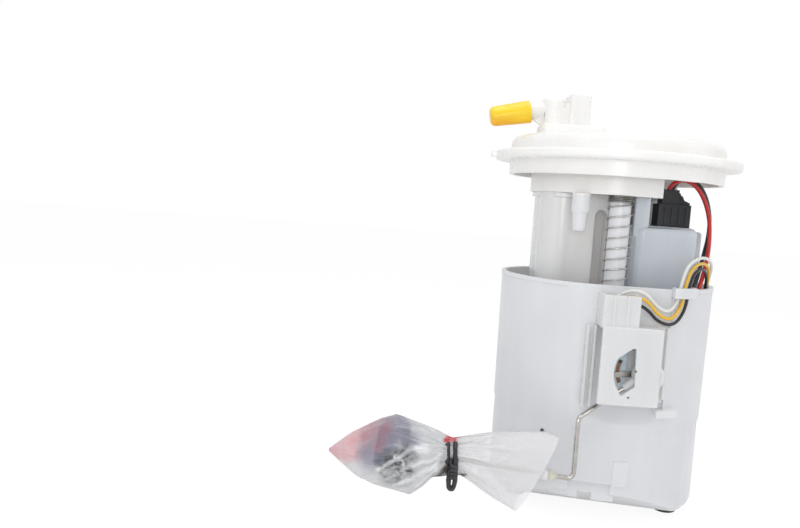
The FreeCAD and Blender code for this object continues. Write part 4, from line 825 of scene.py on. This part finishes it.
# Floor, light and camera
# A white floor and a white surround, both seen as white, under four soft boxes: in front, at the right,
# above and at the left. The camera stands a little below the flange and looks slightly down.
floor_z = cad_box[0][2]
floor_glow = 1.06
glow_share = 0.86
room_light = 0.57
lamp_white = (1.0, 1.0, 1.0)
lamp_warm = (1.0, 0.995, 0.985)
lamp_cool = (0.98, 0.99, 1.0)
bpy.ops.object.select_all(action="DESELECT")
bpy.ops.mesh.primitive_plane_add(size=8.0, location=(0.0, 0.0, floor_z))
floor = bpy.context.active_object
floor.name = "floor"
bpy.ops.object.transform_apply(location=True)
floor_finish = Finish("white sweep", roughness=0.9)
floor_tone = floor_finish.mix(floor_finish.cloud(3.0), (0.92, 0.92, 0.92), (0.90, 0.90, 0.90))
floor_finish.paint(Base_Color=floor_tone)
lit = Value(floor_finish, floor_finish.shader.outputs["BSDF"])
glow = floor_finish.node("ShaderNodeEmission", {}, {"Strength": floor_glow})
both = floor_finish.node("ShaderNodeMixShader", {}, {0: floor_finish.seen() * glow_share, 1: lit, 2: glow})
floor_finish.feed(floor_finish.tree.nodes["Material Output"].inputs["Surface"], both)
floor_finish.put_on(floor)

world = bpy.data.worlds.new("white surround")
bpy.context.scene.world = world
world.use_nodes = True
sky = Nodes(world.node_tree)
sky_light = sky.tree.nodes["Background"]
sky.feed(sky_light.inputs["Color"], (0.95, 0.97, 1.0))
sky.feed(sky_light.inputs["Strength"], room_light)
backdrop = sky.node("ShaderNodeBackground", {}, {"Color": (1.0, 1.0, 1.0), "Strength": 1.0})
sky_lit = Value(sky, sky_light.outputs["Background"])
surround = sky.node("ShaderNodeMixShader", {}, {0: sky.seen(), 1: sky_lit, 2: backdrop})
sky.feed(sky.tree.nodes["World Output"].inputs["Surface"], surround)


def soft_box(name, place, target, size, power, colour):
    """A square lamp of that size, in metres, turned toward its target."""
    lamp = bpy.data.lights.new(name, "AREA")
    lamp.shape = "SQUARE"
    lamp.size = size
    lamp.energy = power
    lamp.color = colour
    box = bpy.data.objects.new(name, lamp)
    bpy.context.collection.objects.link(box)
    box.location = place
    box.rotation_euler = (Vector(target) - Vector(place)).to_track_quat("-Z", "Y").to_euler()


soft_box("front box", (-0.10, -0.62, 0.03), (0.0, 0.0, -0.07), size=0.15, power=0.44, colour=lamp_white)
soft_box("right box", (0.75, -0.25, 0.25), (0.0, 0.0, -0.06), size=0.55, power=1.05, colour=lamp_warm)
soft_box("top box", (-0.05, -0.15, 0.85), (0.0, 0.0, -0.06), size=0.7, power=3.3, colour=lamp_warm)
soft_box("left box", (-0.65, -0.75, 0.20), (0.0, 0.0, -0.08), size=0.6, power=1.4, colour=lamp_cool)

pitch = 0.078
roll = -0.071
standpoint = (-0.11417, -0.44892, -0.02685)
lens = 36.38
ahead = Vector((0.0, math.cos(pitch), -math.sin(pitch)))
level = Vector((1.0, 0.0, 0.0))
above = Vector((0.0, math.sin(pitch), math.cos(pitch)))
right = math.cos(roll) * level - math.sin(roll) * above
up = math.sin(roll) * level + math.cos(roll) * above
eye = bpy.data.cameras.new("camera")
eye.lens = lens
eye.sensor_width = 36.0
eye.sensor_fit = "HORIZONTAL"
camera = bpy.data.objects.new("camera", eye)
bpy.context.collection.objects.link(camera)
turned = Matrix((right, up, -ahead)).transposed().to_4x4()
camera.matrix_world = Matrix.Translation(standpoint) @ turned
bpy.context.scene.camera = camera
bpy.context.scene.view_settings.view_transform = "Standard"
